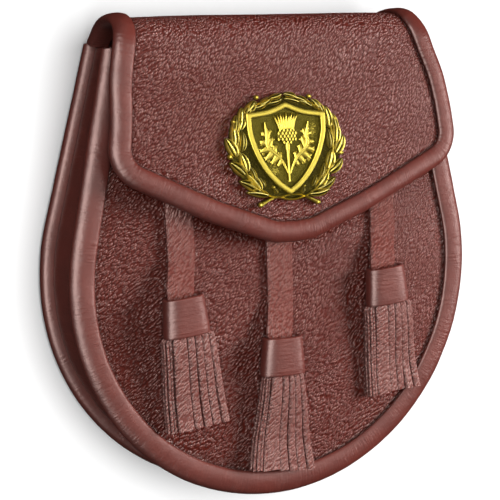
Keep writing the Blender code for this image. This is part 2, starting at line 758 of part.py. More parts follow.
def badge_shapes():
    """Every raised shape of the badge as (name, mesh) in the badge's own plane."""
    shapes = []
    field = mirrored(SHIELD)
    shapes.append(("field", prism_mesh("field", shrink(field, 0.6), 0.2, SHIELD_FIELD)))
    inner = shrink(field, SHIELD_RIM_WIDTH)
    rim_rows = ((field, 0.1), (field, SHIELD_RIM - 0.4), (shrink(field, 0.5), SHIELD_RIM),
                (shrink(field, SHIELD_RIM_WIDTH - 0.5), SHIELD_RIM), (inner, 1.2), (inner, 0.1))
    shapes.append(("rim", ring_mesh("rim", rim_rows)))
    for i, rings in enumerate(wreath_leaves()):
        shapes.append(("leaf_%d" % i, solid_mesh("leaf_%d" % i, rings)))
    for side in (1, -1):
        stem = bar_rings((9.5 * side, -15.4), (-12.4 * side, -20.2), 0.5, 1.0, 0.4, 2.3 + 0.2 * side)
        shapes.append(("wreath_stem", solid_mesh("wreath_stem", stem)))
        leaf = [(x * side, y) for x, y in THISTLE_LEAF]
        shapes.append(("thistle_leaf", prism_mesh("thistle_leaf", leaf, 1.4, THISTLE_TOP - 0.2)))
    shapes.append(("tuft", prism_mesh("tuft", thistle_tuft(), 1.3, THISTLE_TOP - 0.1)))
    stem = bar_rings((0.0, -12.0), (0.0, 3.0), 0.7, 1.0, 1.2, THISTLE_TOP + 0.1)
    shapes.append(("thistle_stem", solid_mesh("thistle_stem", stem)))
    for side in (1, -1):
        stalk = bar_rings((0.2 * side, -11.0), (2.9 * side, -5.4), 0.4, 0.7, 1.25, THISTLE_TOP - 0.3)
        shapes.append(("leaf_stalk", solid_mesh("leaf_stalk", stalk)))
    shapes.append(("bulb", bulb_mesh()))
    return shapes


def ring_mesh(name, rows):
    """A closed ring through rows of (outline, height), joined back to the first row."""
    bm = bmesh.new()
    grid = [[bm.verts.new((x, y, z)) for x, y in points] for points, z in rows]
    for k in range(len(grid)):
        lower, upper = grid[k - 1], grid[k]
        for i in range(len(lower)):
            bm.faces.new((lower[i - 1], lower[i], upper[i], upper[i - 1]))
    return finish_mesh(name, bm)


def bulb_mesh():
    """The round base of the thistle's flower."""
    bm = bmesh.new()
    bmesh.ops.create_uvsphere(bm, u_segments=12, v_segments=6, radius=1.0)
    bmesh.ops.scale(bm, vec=Vector((4.1, 3.7, 1.7)), verts=bm.verts)
    bmesh.ops.translate(bm, vec=Vector((0.0, 4.6, 1.9)), verts=bm.verts)
    return finish_mesh("bulb", bm)


def make_badge(shop):
    """The cast badge: a laurel wreath, a rimmed shield and a thistle on one plate, with its hidden post."""
    bm = bmesh.new()
    bmesh.ops.create_cone(bm, cap_ends=True, segments=28, radius1=1.0, radius2=1.0, depth=BASE_THICKNESS)
    for vert in bm.verts:
        reach = BASE_PLATE[1] if vert.co.y < 0 else BASE_PLATE[2]
        vert.co = (vert.co.x * BASE_PLATE[0], vert.co.y * reach, vert.co.z)
    bmesh.ops.translate(bm, vec=Vector((0.0, 0.0, BASE_THICKNESS / 2)), verts=bm.verts)
    badge = shop.add("badge", finish_mesh("badge", bm), "antique_brass")
    shapes = badge_shapes()
    through = PANEL_LEATHER + 2 * CLEAR
    shapes.append(("post", cylinder_mesh("post", (0.0, 0.0), POST_RADIUS, -through - 0.5, 0.7)))
    shapes.append(("rivet", cylinder_mesh("rivet", (0.0, 0.0), RIVET_RADIUS, -through - RIVET_THICKNESS,
                                          -through)))
    collection = bpy.data.collections.new("badge_relief")
    shop.cutters.children.link(collection)
    place = Matrix.Translation((BADGE_CENTRE[0] * MM, BADGE_CENTRE[1] * MM, badge_floor() * MM))
    place = place @ Matrix.Rotation(flap_lean(), 4, "X") @ Matrix.Rotation(BADGE_TURN, 4, "Z")
    badge.matrix_local = place
    for name, mesh in shapes:
        shop.add_cutter("badge_" + name, mesh, collection).matrix_local = place
    join_all(badge, collection)


def flap_lean():
    """The flap's front leans out towards its tip."""
    slope = SECTION[-1] - SECTION[-2]
    return -math.atan2(slope.y, -slope.x)


# ---------------------------------------------------------------- hidden pieces

def make_clasp(shop):
    """A plain stud between the front panel and the flap, which holds the flap shut."""
    low = front_height(0.0, CLASP_Y) + PANEL_LEATHER / 2 + CLEAR
    edge = flap_run(CLASP_Y + CLASP_RADIUS)
    high = flap_point(CLASP_RADIUS, edge, -PANEL_LEATHER / 2)[2] - CLEAR
    mesh = cylinder_mesh("clasp_stud", (0.0, CLASP_Y), CLASP_RADIUS, low, high, sides=24)
    shop.add("clasp_stud", mesh, "antique_brass")


def make_belt_loops(shop):
    """Two strips on the back, sewn down at the top and the bottom: a belt runs through them along X."""
    low, high = LOOP_Y
    rise = LOOP_FOOT + LOOP_RAMP
    line = ((low, LOOP_FOOT_Z), (low + LOOP_FOOT, LOOP_FOOT_Z), (low + rise, LOOP_FLAT_Z),
            (high - rise, LOOP_FLAT_Z), (high - LOOP_FOOT, LOOP_FOOT_Z), (high, LOOP_FOOT_Z))
    for name, x in (("belt_loop_left", -LOOP_X), ("belt_loop_right", LOOP_X)):
        rows = [[(x + dx, y, z) for y, z in line] for dx in (-LOOP_WIDTH / 2, LOOP_WIDTH / 2)]
        loop = shop.add(name, sheet_mesh(name, rows), "smooth_leather")
        thicken(loop, LOOP_LEATHER)


def main():
    clear_scene()
    shop = Workshop()
    make_panels(shop)
    make_gusset(shop)
    make_pouch_bindings(shop)
    make_flap(shop)
    make_flap_binding(shop)
    make_tassels(shop)
    make_badge(shop)
    make_clasp(shop)
    make_belt_loops(shop)


main()
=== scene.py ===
"""The looks of the leather sporran pouch: plump bindings, grained panels, stitched flap, cut tassels and
a cast thistle badge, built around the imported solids.

Shapes are worked out in the part's own millimetres, with Y measured from the pouch's lowest point, and are
turned into metres of the row frame where a mesh is made.
"""
import json
import math
from collections import namedtuple

import bmesh
import bpy
import numpy as np
from mathutils import Matrix, Vector, noise

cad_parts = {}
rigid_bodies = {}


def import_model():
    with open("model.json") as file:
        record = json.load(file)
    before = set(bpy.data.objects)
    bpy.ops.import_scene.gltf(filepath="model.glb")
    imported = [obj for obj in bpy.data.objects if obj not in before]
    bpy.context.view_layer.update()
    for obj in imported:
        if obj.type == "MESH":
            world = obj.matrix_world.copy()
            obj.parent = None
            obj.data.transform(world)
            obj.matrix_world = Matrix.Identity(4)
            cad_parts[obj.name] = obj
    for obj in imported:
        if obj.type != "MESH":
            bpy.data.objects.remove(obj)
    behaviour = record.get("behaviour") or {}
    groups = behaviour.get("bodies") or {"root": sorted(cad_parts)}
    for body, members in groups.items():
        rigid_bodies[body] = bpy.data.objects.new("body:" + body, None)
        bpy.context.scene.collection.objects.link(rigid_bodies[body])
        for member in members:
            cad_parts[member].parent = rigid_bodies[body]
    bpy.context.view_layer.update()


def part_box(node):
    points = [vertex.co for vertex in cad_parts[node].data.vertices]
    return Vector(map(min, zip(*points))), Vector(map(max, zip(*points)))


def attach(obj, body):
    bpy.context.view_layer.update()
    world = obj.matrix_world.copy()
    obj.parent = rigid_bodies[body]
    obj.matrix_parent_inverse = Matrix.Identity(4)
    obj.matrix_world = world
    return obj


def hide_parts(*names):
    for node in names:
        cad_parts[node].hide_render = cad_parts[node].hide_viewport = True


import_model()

MM = 0.001

# ---------------------------------------------------------------- the solids' sizes, in millimetres

POUCH_WIDTH = 178.8
BACK_LEAN = math.radians(16.2)
FRONT_LEAN = math.radians(12.4)
MOUTH_Y = 180.2
BACK_TOP_Y = 182.0
POUCH_DEPTH = 33.5
FULL_HEIGHT = 192.75
RADIUS = POUCH_WIDTH / 2
PANEL_LEATHER = 1.8
BINDING_DEPTH = 5.0
BINDING_FACE = 9.5
PANEL_EDGE = 3.2
CLEAR = 0.3
CROWN, CROWN_START, CROWN_END = 4.0, 11.0, 60.0
DISH, DISH_START, DISH_END = 5.4, 9.0, 25.0
DISH_FADE_Y = (148.0, 164.0)
GUSSET_EDGE, GUSSET_FOLD = 5.5, 3.0

FLAP_SECTION = ((166.0, 4.7, 0.0), (180.6, 4.7, 10.0), (189.4, 19.2, 24.0), (189.9, 39.2, 10.5),
                (104.0, 42.6, 0.0))
FLAP_SHIFT = (-1.5, 2.4, 0.4)
FLAP_SHIFT_RUNS = (48.0, 88.0)
FLAP_TILT, FLAP_DROOP = 0.9, 1.0
FLAP_LEFT_RISE = 2.0                 # the flap's left corner sits this much higher than its right one
FLAP_TUCK, FLAP_TUCK_RUN = 56.0, 16.2
FLAP_EDGE_RUN, FLAP_EDGE_INSET = 16.8, 2.0
FLAP_BINDING_FACE = 7.5
FLAP_CORNERS = ((67.0, 188.0, 20.0), (73.4, 166.0, 60.0), (77.8, 132.2, 15.0), (36.0, 113.4, 90.0),
                (9.0, 103.8, 22.0), (0.0, 103.4, 0.0))
FLAP_HALF_WIDTH = FLAP_CORNERS[2][0]
FLAP_BACK_CORNER = 65.2

# Name, x, top of the strap, top of the head, fringe's end, lean of the head, swing and width of the end, the
# share of its spread right under the head, and how much longer its right side is.
TASSELS = (
    ("left", -47.0, 133.0, 86.3, 33.6, math.radians(4.0), 2.6, 23.4, 0.66, 0.0),
    ("middle", -4.6, 118.0, 65.6, 12.2, math.radians(-1.5), 2.4, 26.2, 0.25, 2.8),
    ("right", 44.2, 133.0, 88.2, 35.0, math.radians(3.5), 2.6, 22.6, 0.66, 0.0),
)
STRAP_MIDDLE_SHIFT, STRAP_BOTTOM_SHIFT, STRAP_TONGUE, STRAP_RISE = 1.6, 0.9, 3.0, 16.0
STRAP_WIDTH, STRAP_LEATHER = 11.6, 1.6
HEAD_WIDTH, HEAD_THICKNESS, HEAD_LENGTH, HEAD_LEATHER = 16.6, 8.6, 14.2, 1.5
HEAD_FLARE = 1.3                     # the head's half width grows by this much towards its bottom
FRINGE_STRIP, FRINGE_SLIT = 1.35, 0.16
# Where a fringe is cut, as shares of its half width, and how far each strip lies above its layer.
FRINGE_CUTS = {
    "back": (-1.0, -0.62, -0.22, 0.20, 0.60, 1.0),
    "front": (-1.0, -0.90, -0.79, -0.68, -0.14, 0.16, 0.44, 0.74, 1.0),
}
FRINGE_LIFTS = {"back": (0.0, 0.2, 0.0, 0.25, 0.0), "front": (0.0, 0.35, 0.1, 0.3, 0.0, 0.3, 0.05, 0.35)}
FRINGE_WIDER = 2.6                   # how much wider than the solid the loose strips spread

BADGE_CENTRE, BADGE_TURN = (-2.0, 139.6), math.radians(-0.5)
BADGE_SKEW = 0.026                   # the casting is very slightly out of square
BASE_PLATE, BASE_THICKNESS = (24.2, 19.4, 19.8), 1.3
# Half of the shield: its slightly hollow top edge and its full side, down to the point.
SHIELD_TOP = ((0.0, 17.7), (7.5, 15.0), (17.5, 13.6))
SHIELD_SIDE = ((17.5, 13.6), (17.1, 5.5), (14.4, -2.5), (10.2, -9.3), (5.3, -14.4), (0.0, -18.0))
SHIELD_FIELD, SHIELD_RIM, SHIELD_RIM_WIDTH = 1.9, 3.2, 2.2
# Laurel leaves of the right-hand branch: x and y of the base, x and y of the tip, and width.
LAUREL = (
    (9.0, -18.0, 18.4, -16.4, 2.3),
    (12.2, -16.6, 21.2, -12.0, 2.7),
    (12.1, -16.2, 18.2, -9.0, 2.9),
    (18.6, -10.0, 24.8, -4.8, 3.0),
    (18.0, -8.8, 20.4, -1.0, 2.9),
    (22.0, -2.8, 26.0, 4.4, 3.1),
    (19.6, -0.8, 18.9, 7.0, 2.2),
    (22.4, 1.0, 22.8, 9.6, 2.6),
    (19.8, 7.2, 18.3, 15.8, 2.7),
    (22.8, 5.6, 21.0, 13.0, 2.1),
    (15.8, 14.4, 12.4, 18.4, 2.4),
    (17.4, 12.8, 14.6, 17.4, 2.0),
    (10.6, 16.8, 5.2, 19.5, 2.0),
    (12.4, 15.6, 7.2, 18.0, 1.9),
    (5.8, 19.2, 0.5, 20.7, 1.8),
    (7.0, 17.3, 0.5, 18.9, 1.7),
    (14.4, -12.4, 16.6, -6.4, 1.5),
    (10.6, -15.0, 12.6, -11.0, 1.2),
    (5.6, -17.6, 6.7, -15.0, 1.0),
)
LAUREL_FULLNESS = 1.50
LAUREL_STEM = ((-12.4, -21.3), (-9.0, -19.7), (-5.0, -18.3), (0.0, -18.5), (5.0, -18.9), (10.0, -17.4),
               (15.6, -12.8), (19.6, -6.0), (21.0, 1.4), (19.8, 9.0), (15.4, 15.0), (8.6, 18.2), (1.0, 19.8))
# Buds: x, y and radius.
BUDS = ((11.6, 19.6, 0.95), (24.6, -2.6, 1.0), (22.4, 10.6, 0.8), (6.9, -14.8, 0.6), (-12.7, -21.4, 1.05))
THISTLE_SPINE = ((0.6, -9.6), (1.9, -6.6), (4.0, -3.4), (7.0, -1.0), (8.9, 1.6), (8.8, 5.2), (9.6, 10.0))
# Lobes of a thistle leaf: x and y of the root, x and y of the tip, and width.
THISTLE_LOBES = (
    (3.0, -5.0, 4.6, -7.0, 1.3),
    (4.9, -3.2, 7.4, -6.2, 1.5),
    (6.6, -1.6, 10.2, -4.6, 1.6),
    (8.0, 0.2, 12.2, -1.4, 1.6),
    (8.8, 2.4, 12.0, 2.2, 1.5),
    (8.9, 5.2, 11.2, 6.0, 1.2),
    (4.0, -4.0, 3.2, -1.4, 1.4),
    (6.2, -1.8, 5.2, 1.4, 1.5),
    (8.2, 0.6, 6.4, 4.4, 1.5),
    (8.8, 4.0, 7.2, 7.4, 1.2),
)
THISTLE_TOP = 3.0
BULB = ((0.0, 4.9), (4.5, 3.2), 1.7)   # centre, half width and half height, and rise above the field
# Tips of the flower's spikes.
TUFT_TIPS = ((-5.5, 12.5), (-3.9, 12.7), (-2.7, 13.3), (-1.4, 12.7), (0.0, 13.7), (1.4, 12.8), (2.7, 13.4),
             (3.8, 12.7), (5.2, 13.0))

CLASP_Y = 127.0
LOOP_X, LOOP_Y, LOOP_WIDTH, LOOP_LEATHER = 38.0, (102.0, 146.0), 16.0, 1.8
LOOP_FOOT, LOOP_RAMP, LOOP_FLAT_Z, LOOP_FOOT_Z = 6.0, 3.5, 1.2, 5.8

# ---------------------------------------------------------------- points and meshes


def smooth_step(value):
    """0 below 0, 1 above 1, and a smooth rise between. Takes numbers or arrays."""
    t = np.clip(value, 0.0, 1.0)
    return t * t * (3 - 2 * t)


def noise_at(points, pitch, seed):
    """Smooth noise between -1 and 1 at every point of an array, with features of about the pitch."""
    flat = np.asarray(points, float).reshape(-1, 3) / pitch + seed * np.array((17.3, 5.1, 11.7))
    values = [noise.noise(Vector(point)) for point in flat.tolist()]
    return np.array(values).reshape(np.asarray(points).shape[:-1])


def curve_through(points, count):
    """A smooth curve through a few points, resampled at equal steps."""
    keys = np.asarray(points, float)
    keys = np.vstack((2 * keys[0] - keys[1], keys, 2 * keys[-1] - keys[-2]))
    fine = []
    for a, b, c, d in zip(keys, keys[1:], keys[2:], keys[3:]):
        for t in np.linspace(0.0, 1.0, 24, endpoint=False):
            fine.append(0.5 * (2 * b + (c - a) * t + (2 * a - 5 * b + 4 * c - d) * t * t
                               + (3 * b - a - 3 * c + d) * t ** 3))
    fine = np.array(fine + [keys[-2]])
    along = np.concatenate(([0.0], np.cumsum(np.linalg.norm(np.diff(fine, axis=0), axis=1))))
    steps = np.linspace(0.0, along[-1], count)
    return np.stack([np.interp(steps, along, fine[:, k]) for k in range(fine.shape[1])], axis=1)


def grid_normals(grid, wrap=False):
    """Unit normals of a grid of points. With wrap its first axis closes on itself."""
    if wrap:
        down = np.roll(grid, -1, axis=0) - np.roll(grid, 1, axis=0)
    else:
        down = np.gradient(grid, axis=0)
    across = np.gradient(grid, axis=1)
    normals = np.cross(down, across)
    return normals / np.maximum(np.linalg.norm(normals, axis=2, keepdims=True), 1e-9)


def grid_flow(grid):
    """Distances along and across a grid of points, which tell a material which way a strip runs."""
    along = np.linalg.norm(np.diff(grid, axis=1), axis=2).mean(axis=0)
    across = np.linalg.norm(np.diff(grid, axis=0), axis=2).mean(axis=1)
    along, across = np.insert(np.cumsum(along), 0, 0.0), np.insert(np.cumsum(across), 0, 0.0)
    flow = np.zeros(grid.shape)
    flow[..., 0], flow[..., 1] = along[None, :], across[:, None]
    return flow


def grid_faces(rows, columns, wrap=False, start=0):
    """Quads of a grid, counted from a first vertex."""
    index = start + np.arange(rows * columns).reshape(rows, columns)
    if wrap:
        index = np.vstack((index, index[:1]))
    quads = np.stack((index[:-1, :-1], index[1:, :-1], index[1:, 1:], index[:-1, 1:]), axis=-1)
    return quads.reshape(-1, 4).tolist()


class Shape:
    """Collects grids and outlines in part millimetres and turns them into one object."""

    def __init__(self):
        self.points = []
        self.faces = []
        self.values = []
        self.flows = []

    def add(self, points, faces, value=1.0, flow=None):
        """Loose points with faces that count from the first of them. The value goes to every point."""
        flat = np.asarray(points, float).reshape(-1, 3)
        start = sum(len(block) for block in self.points)
        self.faces += [[start + i for i in face] for face in faces]
        self.points.append(flat)
        self.values.append(np.broadcast_to(np.asarray(value, float).reshape(-1), (len(flat),)))
        self.flows.append(np.zeros(flat.shape) if flow is None else flow.reshape(-1, 3))

    def add_sheet(self, grid, value=1.0):
        rows, columns = grid.shape[:2]
        self.add(grid, grid_faces(rows, columns), value, grid_flow(grid))

    def add_tube(self, grid, value=1.0):
        """A grid whose first axis closes on itself, with a cap at both ends of its second axis."""
        rows, columns = grid.shape[:2]
        faces = grid_faces(rows, columns, wrap=True)
        faces.append([i * columns for i in range(rows)])
        faces.append([i * columns + columns - 1 for i in reversed(range(rows))])
        self.add(grid, faces, value, grid_flow(grid))

    def build(self, name, material, slot, replaces=(), sharp=50.0, thickness=None, value_name="seam_shade_and_thread_tone"):
        """The object, riding on the root body, in place of the nodes that it stands for.

        With a thickness it is one skin whose normals point out, and the leather grows inwards from it.
        """
        points = np.vstack(self.points)
        points = (points - np.array((0.0, FULL_HEIGHT / 2, 0.0))) * MM
        mesh = bpy.data.meshes.new(name)
        mesh.from_pydata(points.tolist(), [], self.faces)
        attribute = mesh.attributes.new(value_name, "FLOAT", "POINT")
        attribute.data.foreach_set("value", np.concatenate(self.values).astype(np.float32))
        flow = mesh.attributes.new("flow", "FLOAT_VECTOR", "POINT")
        flow.data.foreach_set("vector", np.vstack(self.flows).astype(np.float32).ravel())
        if thickness is None:
            bm = bmesh.new()
            bm.from_mesh(mesh)
            bmesh.ops.recalc_face_normals(bm, faces=bm.faces)
            bm.to_mesh(mesh)
            bm.free()
        mesh.shade_smooth()
        mesh.set_sharp_from_angle(angle=math.radians(sharp))
        mesh.materials.append(material)
        obj = bpy.data.objects.new(name, mesh)
        bpy.context.scene.collection.objects.link(obj)
        if thickness is not None:
            solidify = obj.modifiers.new("leather", "SOLIDIFY")
            solidify.thickness = thickness * MM
            solidify.offset = -1.0
        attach(obj, "root")
        if replaces:
            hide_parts(*replaces)


# ---------------------------------------------------------------- materials

# Leather in its creases, between and on its tops: the darker creases are painted shade and the lighter tops
# painted light, over the grain's own tone.
GRAIN_TONES = ((0.100, 0.008, 0.003, 1.0), (0.120, 0.010, 0.004, 1.0), (0.150, 0.018, 0.010, 1.0))
STRAP_TONES = ((0.135, 0.018, 0.011, 1.0), (0.165, 0.030, 0.020, 1.0), (0.190, 0.045, 0.033, 1.0))
# Painted shade for the grooves beside the bindings, and the threads' darker tone.
SEAM_SHADE_AND_THREAD_DARK = (0.030, 0.003, 0.001, 1.0)
SMOOTH_MID = (0.148, 0.028, 0.020, 1.0)
SMOOTH_DARK = (0.115, 0.019, 0.013, 1.0)
SMOOTH_LIGHT = (0.180, 0.043, 0.032, 1.0)
SHINE_TINT = (1.0, 0.80, 0.74, 1.0)  # the leather's finish shines a little red
PEBBLE_LENGTH = 2.3                  # as a multiple of its width
# Palest gold on the highest edges: partly polish, partly painted highlight.
GOLD_POLISH_AND_HIGHLIGHT = (0.640, 0.555, 0.200, 1.0)
GOLD_BRIGHT = (0.560, 0.436, 0.066, 1.0)
GOLD_DARK = (0.100, 0.080, 0.011, 1.0)
GOLD_DEEP = (0.035, 0.027, 0.005, 1.0)


class Graph:
    """Builds a material's nodes with short calls. Inputs are values or other nodes' outputs."""

    def __init__(self, name):
        self.material = bpy.data.materials.new(name)
        self.material.use_nodes = True
        self.tree = self.material.node_tree
        self.shader = self.tree.nodes["Principled BSDF"]

    def feed(self, socket, value):
        if isinstance(value, bpy.types.NodeSocket):
            self.tree.links.new(value, socket)
        else:
            socket.default_value = value

    def node(self, kind, inputs=(), **settings):
        node = self.tree.nodes.new("ShaderNode" + kind)
        for key, value in settings.items():
            setattr(node, key, value)
        for key, value in dict(inputs).items():
            self.feed(node.inputs[key], value)
        return node

    def place(self):
        """Object coordinates in millimetres."""
        coordinates = self.node("TexCoord").outputs["Object"]
        return self.vector("SCALE", coordinates, scale=1000.0)

    def vector(self, operation, first, second=None, scale=None):
        inputs = {0: first}
        if second is not None:
            inputs[1] = second
        if scale is not None:
            inputs["Scale"] = scale
        return self.node("VectorMath", inputs, operation=operation).outputs["Vector"]

    def sum(self, operation, first, second):
        return self.node("Math", {0: first, 1: second}, operation=operation).outputs[0]

    def fit(self, value, low, high, to_low=0.0, to_high=1.0):
        inputs = {"Value": value, "From Min": low, "From Max": high, "To Min": to_low, "To Max": to_high}
        return self.node("MapRange", inputs, clamp=True).outputs["Result"]

    def blend(self, share, first, second):
        return self.node("Mix", {0: share, 6: first, 7: second}, data_type="RGBA").outputs[2]

    def noise(self, place, pitch, detail=2.0, roughness=0.5, output="Fac"):
        inputs = {"Vector": place, "Scale": 1.0 / pitch, "Detail": detail, "Roughness": roughness}
        return self.node("TexNoise", inputs).outputs[output]

    def cells(self, place, pitch):
        """Cells of about the pitch. The outputs give the distance from each one's middle, and a colour."""
        return self.node("TexVoronoi", {"Vector": place, "Scale": 1.0 / pitch}).outputs

    def warped(self, place, pitch, reach, detail=1.0):
        """The place pushed about by noise."""
        push = self.noise(place, pitch, detail=detail, output="Color")
        centred = self.vector("SUBTRACT", push, (0.5, 0.5, 0.5))
        return self.vector("ADD", place, self.vector("SCALE", centred, scale=2.0 * reach))

    def turned(self, place, angle, stretch):
        """The place turned about Z and then squeezed along each axis."""
        inputs = {"Vector": place, "Rotation": (0.0, 0.0, angle)}
        turned = self.node("Mapping", inputs, vector_type="POINT").outputs[0]
        return self.vector("MULTIPLY", turned, stretch)

    def bump(self, height, depth):
        return self.node("Bump", {"Height": height, "Distance": depth * MM, "Strength": 1.0}).outputs["Normal"]

    def attribute(self, name, output="Fac"):
        return self.node("Attribute", attribute_name=name).outputs[output]

    def finish(self, colour, roughness, normal=None, **fixed):
        self.feed(self.shader.inputs["Base Color"], colour)
        self.feed(self.shader.inputs["Roughness"], roughness)
        if normal is not None:
            self.feed(self.shader.inputs["Normal"], normal)
        for key, value in fixed.items():
            self.shader.inputs[key.replace("_", " ")].default_value = value
        return self.material


def pebbles(graph, place, pitch, angle, length):
    """Height of pebbled grain, 0 in the creases and 1 on top: pebbles drawn out along one direction."""
    squeezed = graph.turned(place, -angle, (1.0 / length, 1.0, 1.0))
    cells = graph.cells(squeezed, pitch)
    away = graph.fit(cells["Distance"], 0.0, 0.72)
    dome = graph.sum("SUBTRACT", 1.0, graph.sum("POWER", away, 2.2))
    return graph.sum("MULTIPLY", dome, graph.fit(cells["Color"], 0.0, 1.0, 0.85, 1.0))


def grain_leather(name, tones, pitch, angle, depth, gloss, veil, level):
    """Pebbled leather: drifting grain, its creases darkened with painted shade and its tops lightened with
    painted light, and tops that the light catches.

    Gloss is the roughness low and high on a pebble, and veil the share of shine left in a crease; the rest is
    taken out as painted shade.
    """
    graph = Graph(name)
    place = graph.place()
    drift = graph.warped(place, 38.0, 4.5)
    ragged = graph.warped(drift, 1.2, 0.20, detail=2.0)
    height = pebbles(graph, ragged, pitch, math.radians(angle), PEBBLE_LENGTH)
    fine = graph.noise(graph.warped(place, 0.9, 0.2), 0.5, detail=1.0)
    height = graph.sum("ADD", height, graph.sum("MULTIPLY", fine, 0.12))
    seam_shade_and_thread_tone = graph.attribute("seam_shade_and_thread_tone")
    # Painted shade in the creases and painted light on the pebbles' tops, over the grain's own tone.
    colour = graph.blend(graph.fit(height, 0.1, 0.6), tones[0], tones[1])
    colour = graph.blend(graph.fit(height, 0.7, 1.1), colour, tones[2])
    # Painted shade along the seams beside the bindings.
    colour = graph.blend(graph.fit(seam_shade_and_thread_tone, 0.0, 1.0, 0.75, 0.0), colour, SEAM_SHADE_AND_THREAD_DARK)
    roughness = graph.fit(height, 0.3, 1.0, gloss[0], gloss[1])
    # Painted shade: the reflection is dimmed in the creases, down to the veil.
    crease = tuple(veil * share for share in SHINE_TINT[:3]) + (1.0,)
    shine = graph.blend(graph.fit(height, 0.0, 0.45), crease, SHINE_TINT)
    graph.feed(graph.shader.inputs["Specular Tint"], shine)
    normal = graph.bump(height, depth)
    return graph.finish(colour, roughness, normal, Specular_IOR_Level=level)


def smooth_leather(name, depth=0.10):
    """Binding leather: fine wrinkles across the strip, in patches, a faint grain and a soft gloss."""
    graph = Graph(name)
    place = graph.place()
    ragged = graph.warped(place, 1.8, 0.4, detail=2.0)
    pores = pebbles(graph, ragged, 0.75, math.radians(10.0), 1.6)
    flow = graph.warped(graph.attribute("flow", "Vector"), 4.0, 0.5)
    wrinkles = graph.noise(graph.vector("MULTIPLY", flow, (1.0, 0.16, 1.0)), 0.9, detail=2.0)
    patches = graph.fit(graph.noise(place, 7.0, detail=2.0), 0.38, 0.62, 0.25, 1.0)
    wrinkles = graph.sum("MULTIPLY", graph.fit(wrinkles, 0.28, 0.72), patches)
    clouds = graph.noise(place, 9.0, detail=4.0)
    height = graph.sum("ADD", graph.sum("MULTIPLY", pores, 0.22), wrinkles)
    colour = graph.blend(graph.fit(clouds, 0.35, 0.7), SMOOTH_DARK, SMOOTH_MID)
    colour = graph.blend(graph.sum("MULTIPLY", graph.fit(height, 0.5, 1.1), 0.45), colour, SMOOTH_LIGHT)
    seam_shade_and_thread_tone = graph.attribute("seam_shade_and_thread_tone")
    # Painted shade along the seam at the binding's inner edge, and the threads' darker tone.
    colour = graph.blend(graph.fit(seam_shade_and_thread_tone, 0.0, 1.0, 0.8, 0.0), colour, SEAM_SHADE_AND_THREAD_DARK)
    roughness = graph.fit(clouds, 0.3, 0.7, 0.46, 0.40)
    normal = graph.bump(height, depth)
    return graph.finish(colour, roughness, normal, Specular_IOR_Level=0.8, Specular_Tint=SHINE_TINT)


def antique_gold(name):
    """Cast metal: bright where it stands up, dark and stippled where polish has not reached, and palest on its
    highest edges, partly polish and partly painted highlight.
    """
    graph = Graph(name)
    place = graph.place()
    relief = graph.attribute("relief")
    stain = graph.noise(place, 2.2, detail=4.0)
    grit = graph.cells(graph.warped(place, 0.9, 0.2), 0.62)["Distance"]
    level = graph.sum("ADD", relief, graph.fit(stain, 0.3, 0.7, -0.12, 0.12))
    level = graph.sum("ADD", level, graph.fit(grit, 0.1, 0.6, 0.14, -0.14))
    bright = graph.fit(level, 0.30, 0.62)
    colour = graph.blend(graph.fit(level, -0.30, 0.0), GOLD_DEEP, GOLD_DARK)
    colour = graph.blend(bright, colour, GOLD_BRIGHT)
    # Palest, creamier gold on the highest parts, above all the leaves' edges and veins: partly polish, partly
    # painted highlight.
    colour = graph.blend(graph.fit(level, 1.05, 1.35), colour, GOLD_POLISH_AND_HIGHLIGHT)
    roughness = graph.fit(bright, 0.0, 1.0, 0.55, 0.41)
    rough_height = graph.sum("MULTIPLY", grit, graph.fit(relief, 0.4, 0.9, -1.0, -0.06))
    normal = graph.bump(rough_height, 0.20)
    return graph.finish(colour, roughness, normal, Metallic=1.0)


def floor_material(name):
    """A pale, dull floor."""
    graph = Graph(name)
    place = graph.place()
    colour = graph.blend(graph.noise(place, 300.0), (0.86, 0.86, 0.86, 1.0), (0.90, 0.90, 0.90, 1.0))
    return graph.finish(colour, 0.9)


GRAIN = grain_leather("grained_leather", GRAIN_TONES, pitch=0.78, angle=42.0, depth=0.66, gloss=(0.48, 0.34),
                      veil=0.35, level=0.9)
STRAP_GRAIN = grain_leather("strap_leather", STRAP_TONES, pitch=0.88, angle=50.0, depth=0.40,
                            gloss=(0.55, 0.43), veil=0.55, level=0.85)
SMOOTH = smooth_leather("binding_leather")
GOLD = antique_gold("antique_gold")

# ---------------------------------------------------------------- the pouch

ARC_POINTS, SIDE_POINTS = 200, 105


def outline(inset, top, lean):
    """The pouch's edge moved inwards, from the top left round the bottom to the top right: x and y."""
    radius = RADIUS - inset
    turn = np.linspace(-math.pi / 2, lean, ARC_POINTS)
    arc_x, arc_y = radius * np.cos(turn), RADIUS + radius * np.sin(turn)
    side_y = np.linspace(arc_y[-1], top, SIDE_POINTS)[1:]
    side_x = arc_x[-1] - (side_y - arc_y[-1]) * math.tan(lean)
    x, y = np.concatenate((arc_x, side_x)), np.concatenate((arc_y, side_y))
    return np.concatenate((-x[::-1], x[1:])), np.concatenate((y[::-1], y[1:]))


def edge_distance(x, y, lean):
    """How far points inside the outline lie from the edge."""
    side = RADIUS - np.abs(x) * math.cos(lean) - (y - RADIUS) * math.sin(lean)
    above_arc = y - RADIUS > np.abs(x) * math.tan(lean)
    return np.where(above_arc, side, RADIUS - np.hypot(x, y - RADIUS))


def front_height(x, y):
    """Middle of the front panel's leather."""
    rise = (edge_distance(x, y, FRONT_LEAN) - CROWN_START) / (CROWN_END - CROWN_START)
    return POUCH_DEPTH - BINDING_DEPTH / 2 + CROWN * (1 - (1 - np.clip(rise, 0.0, 1.0)) ** 2)


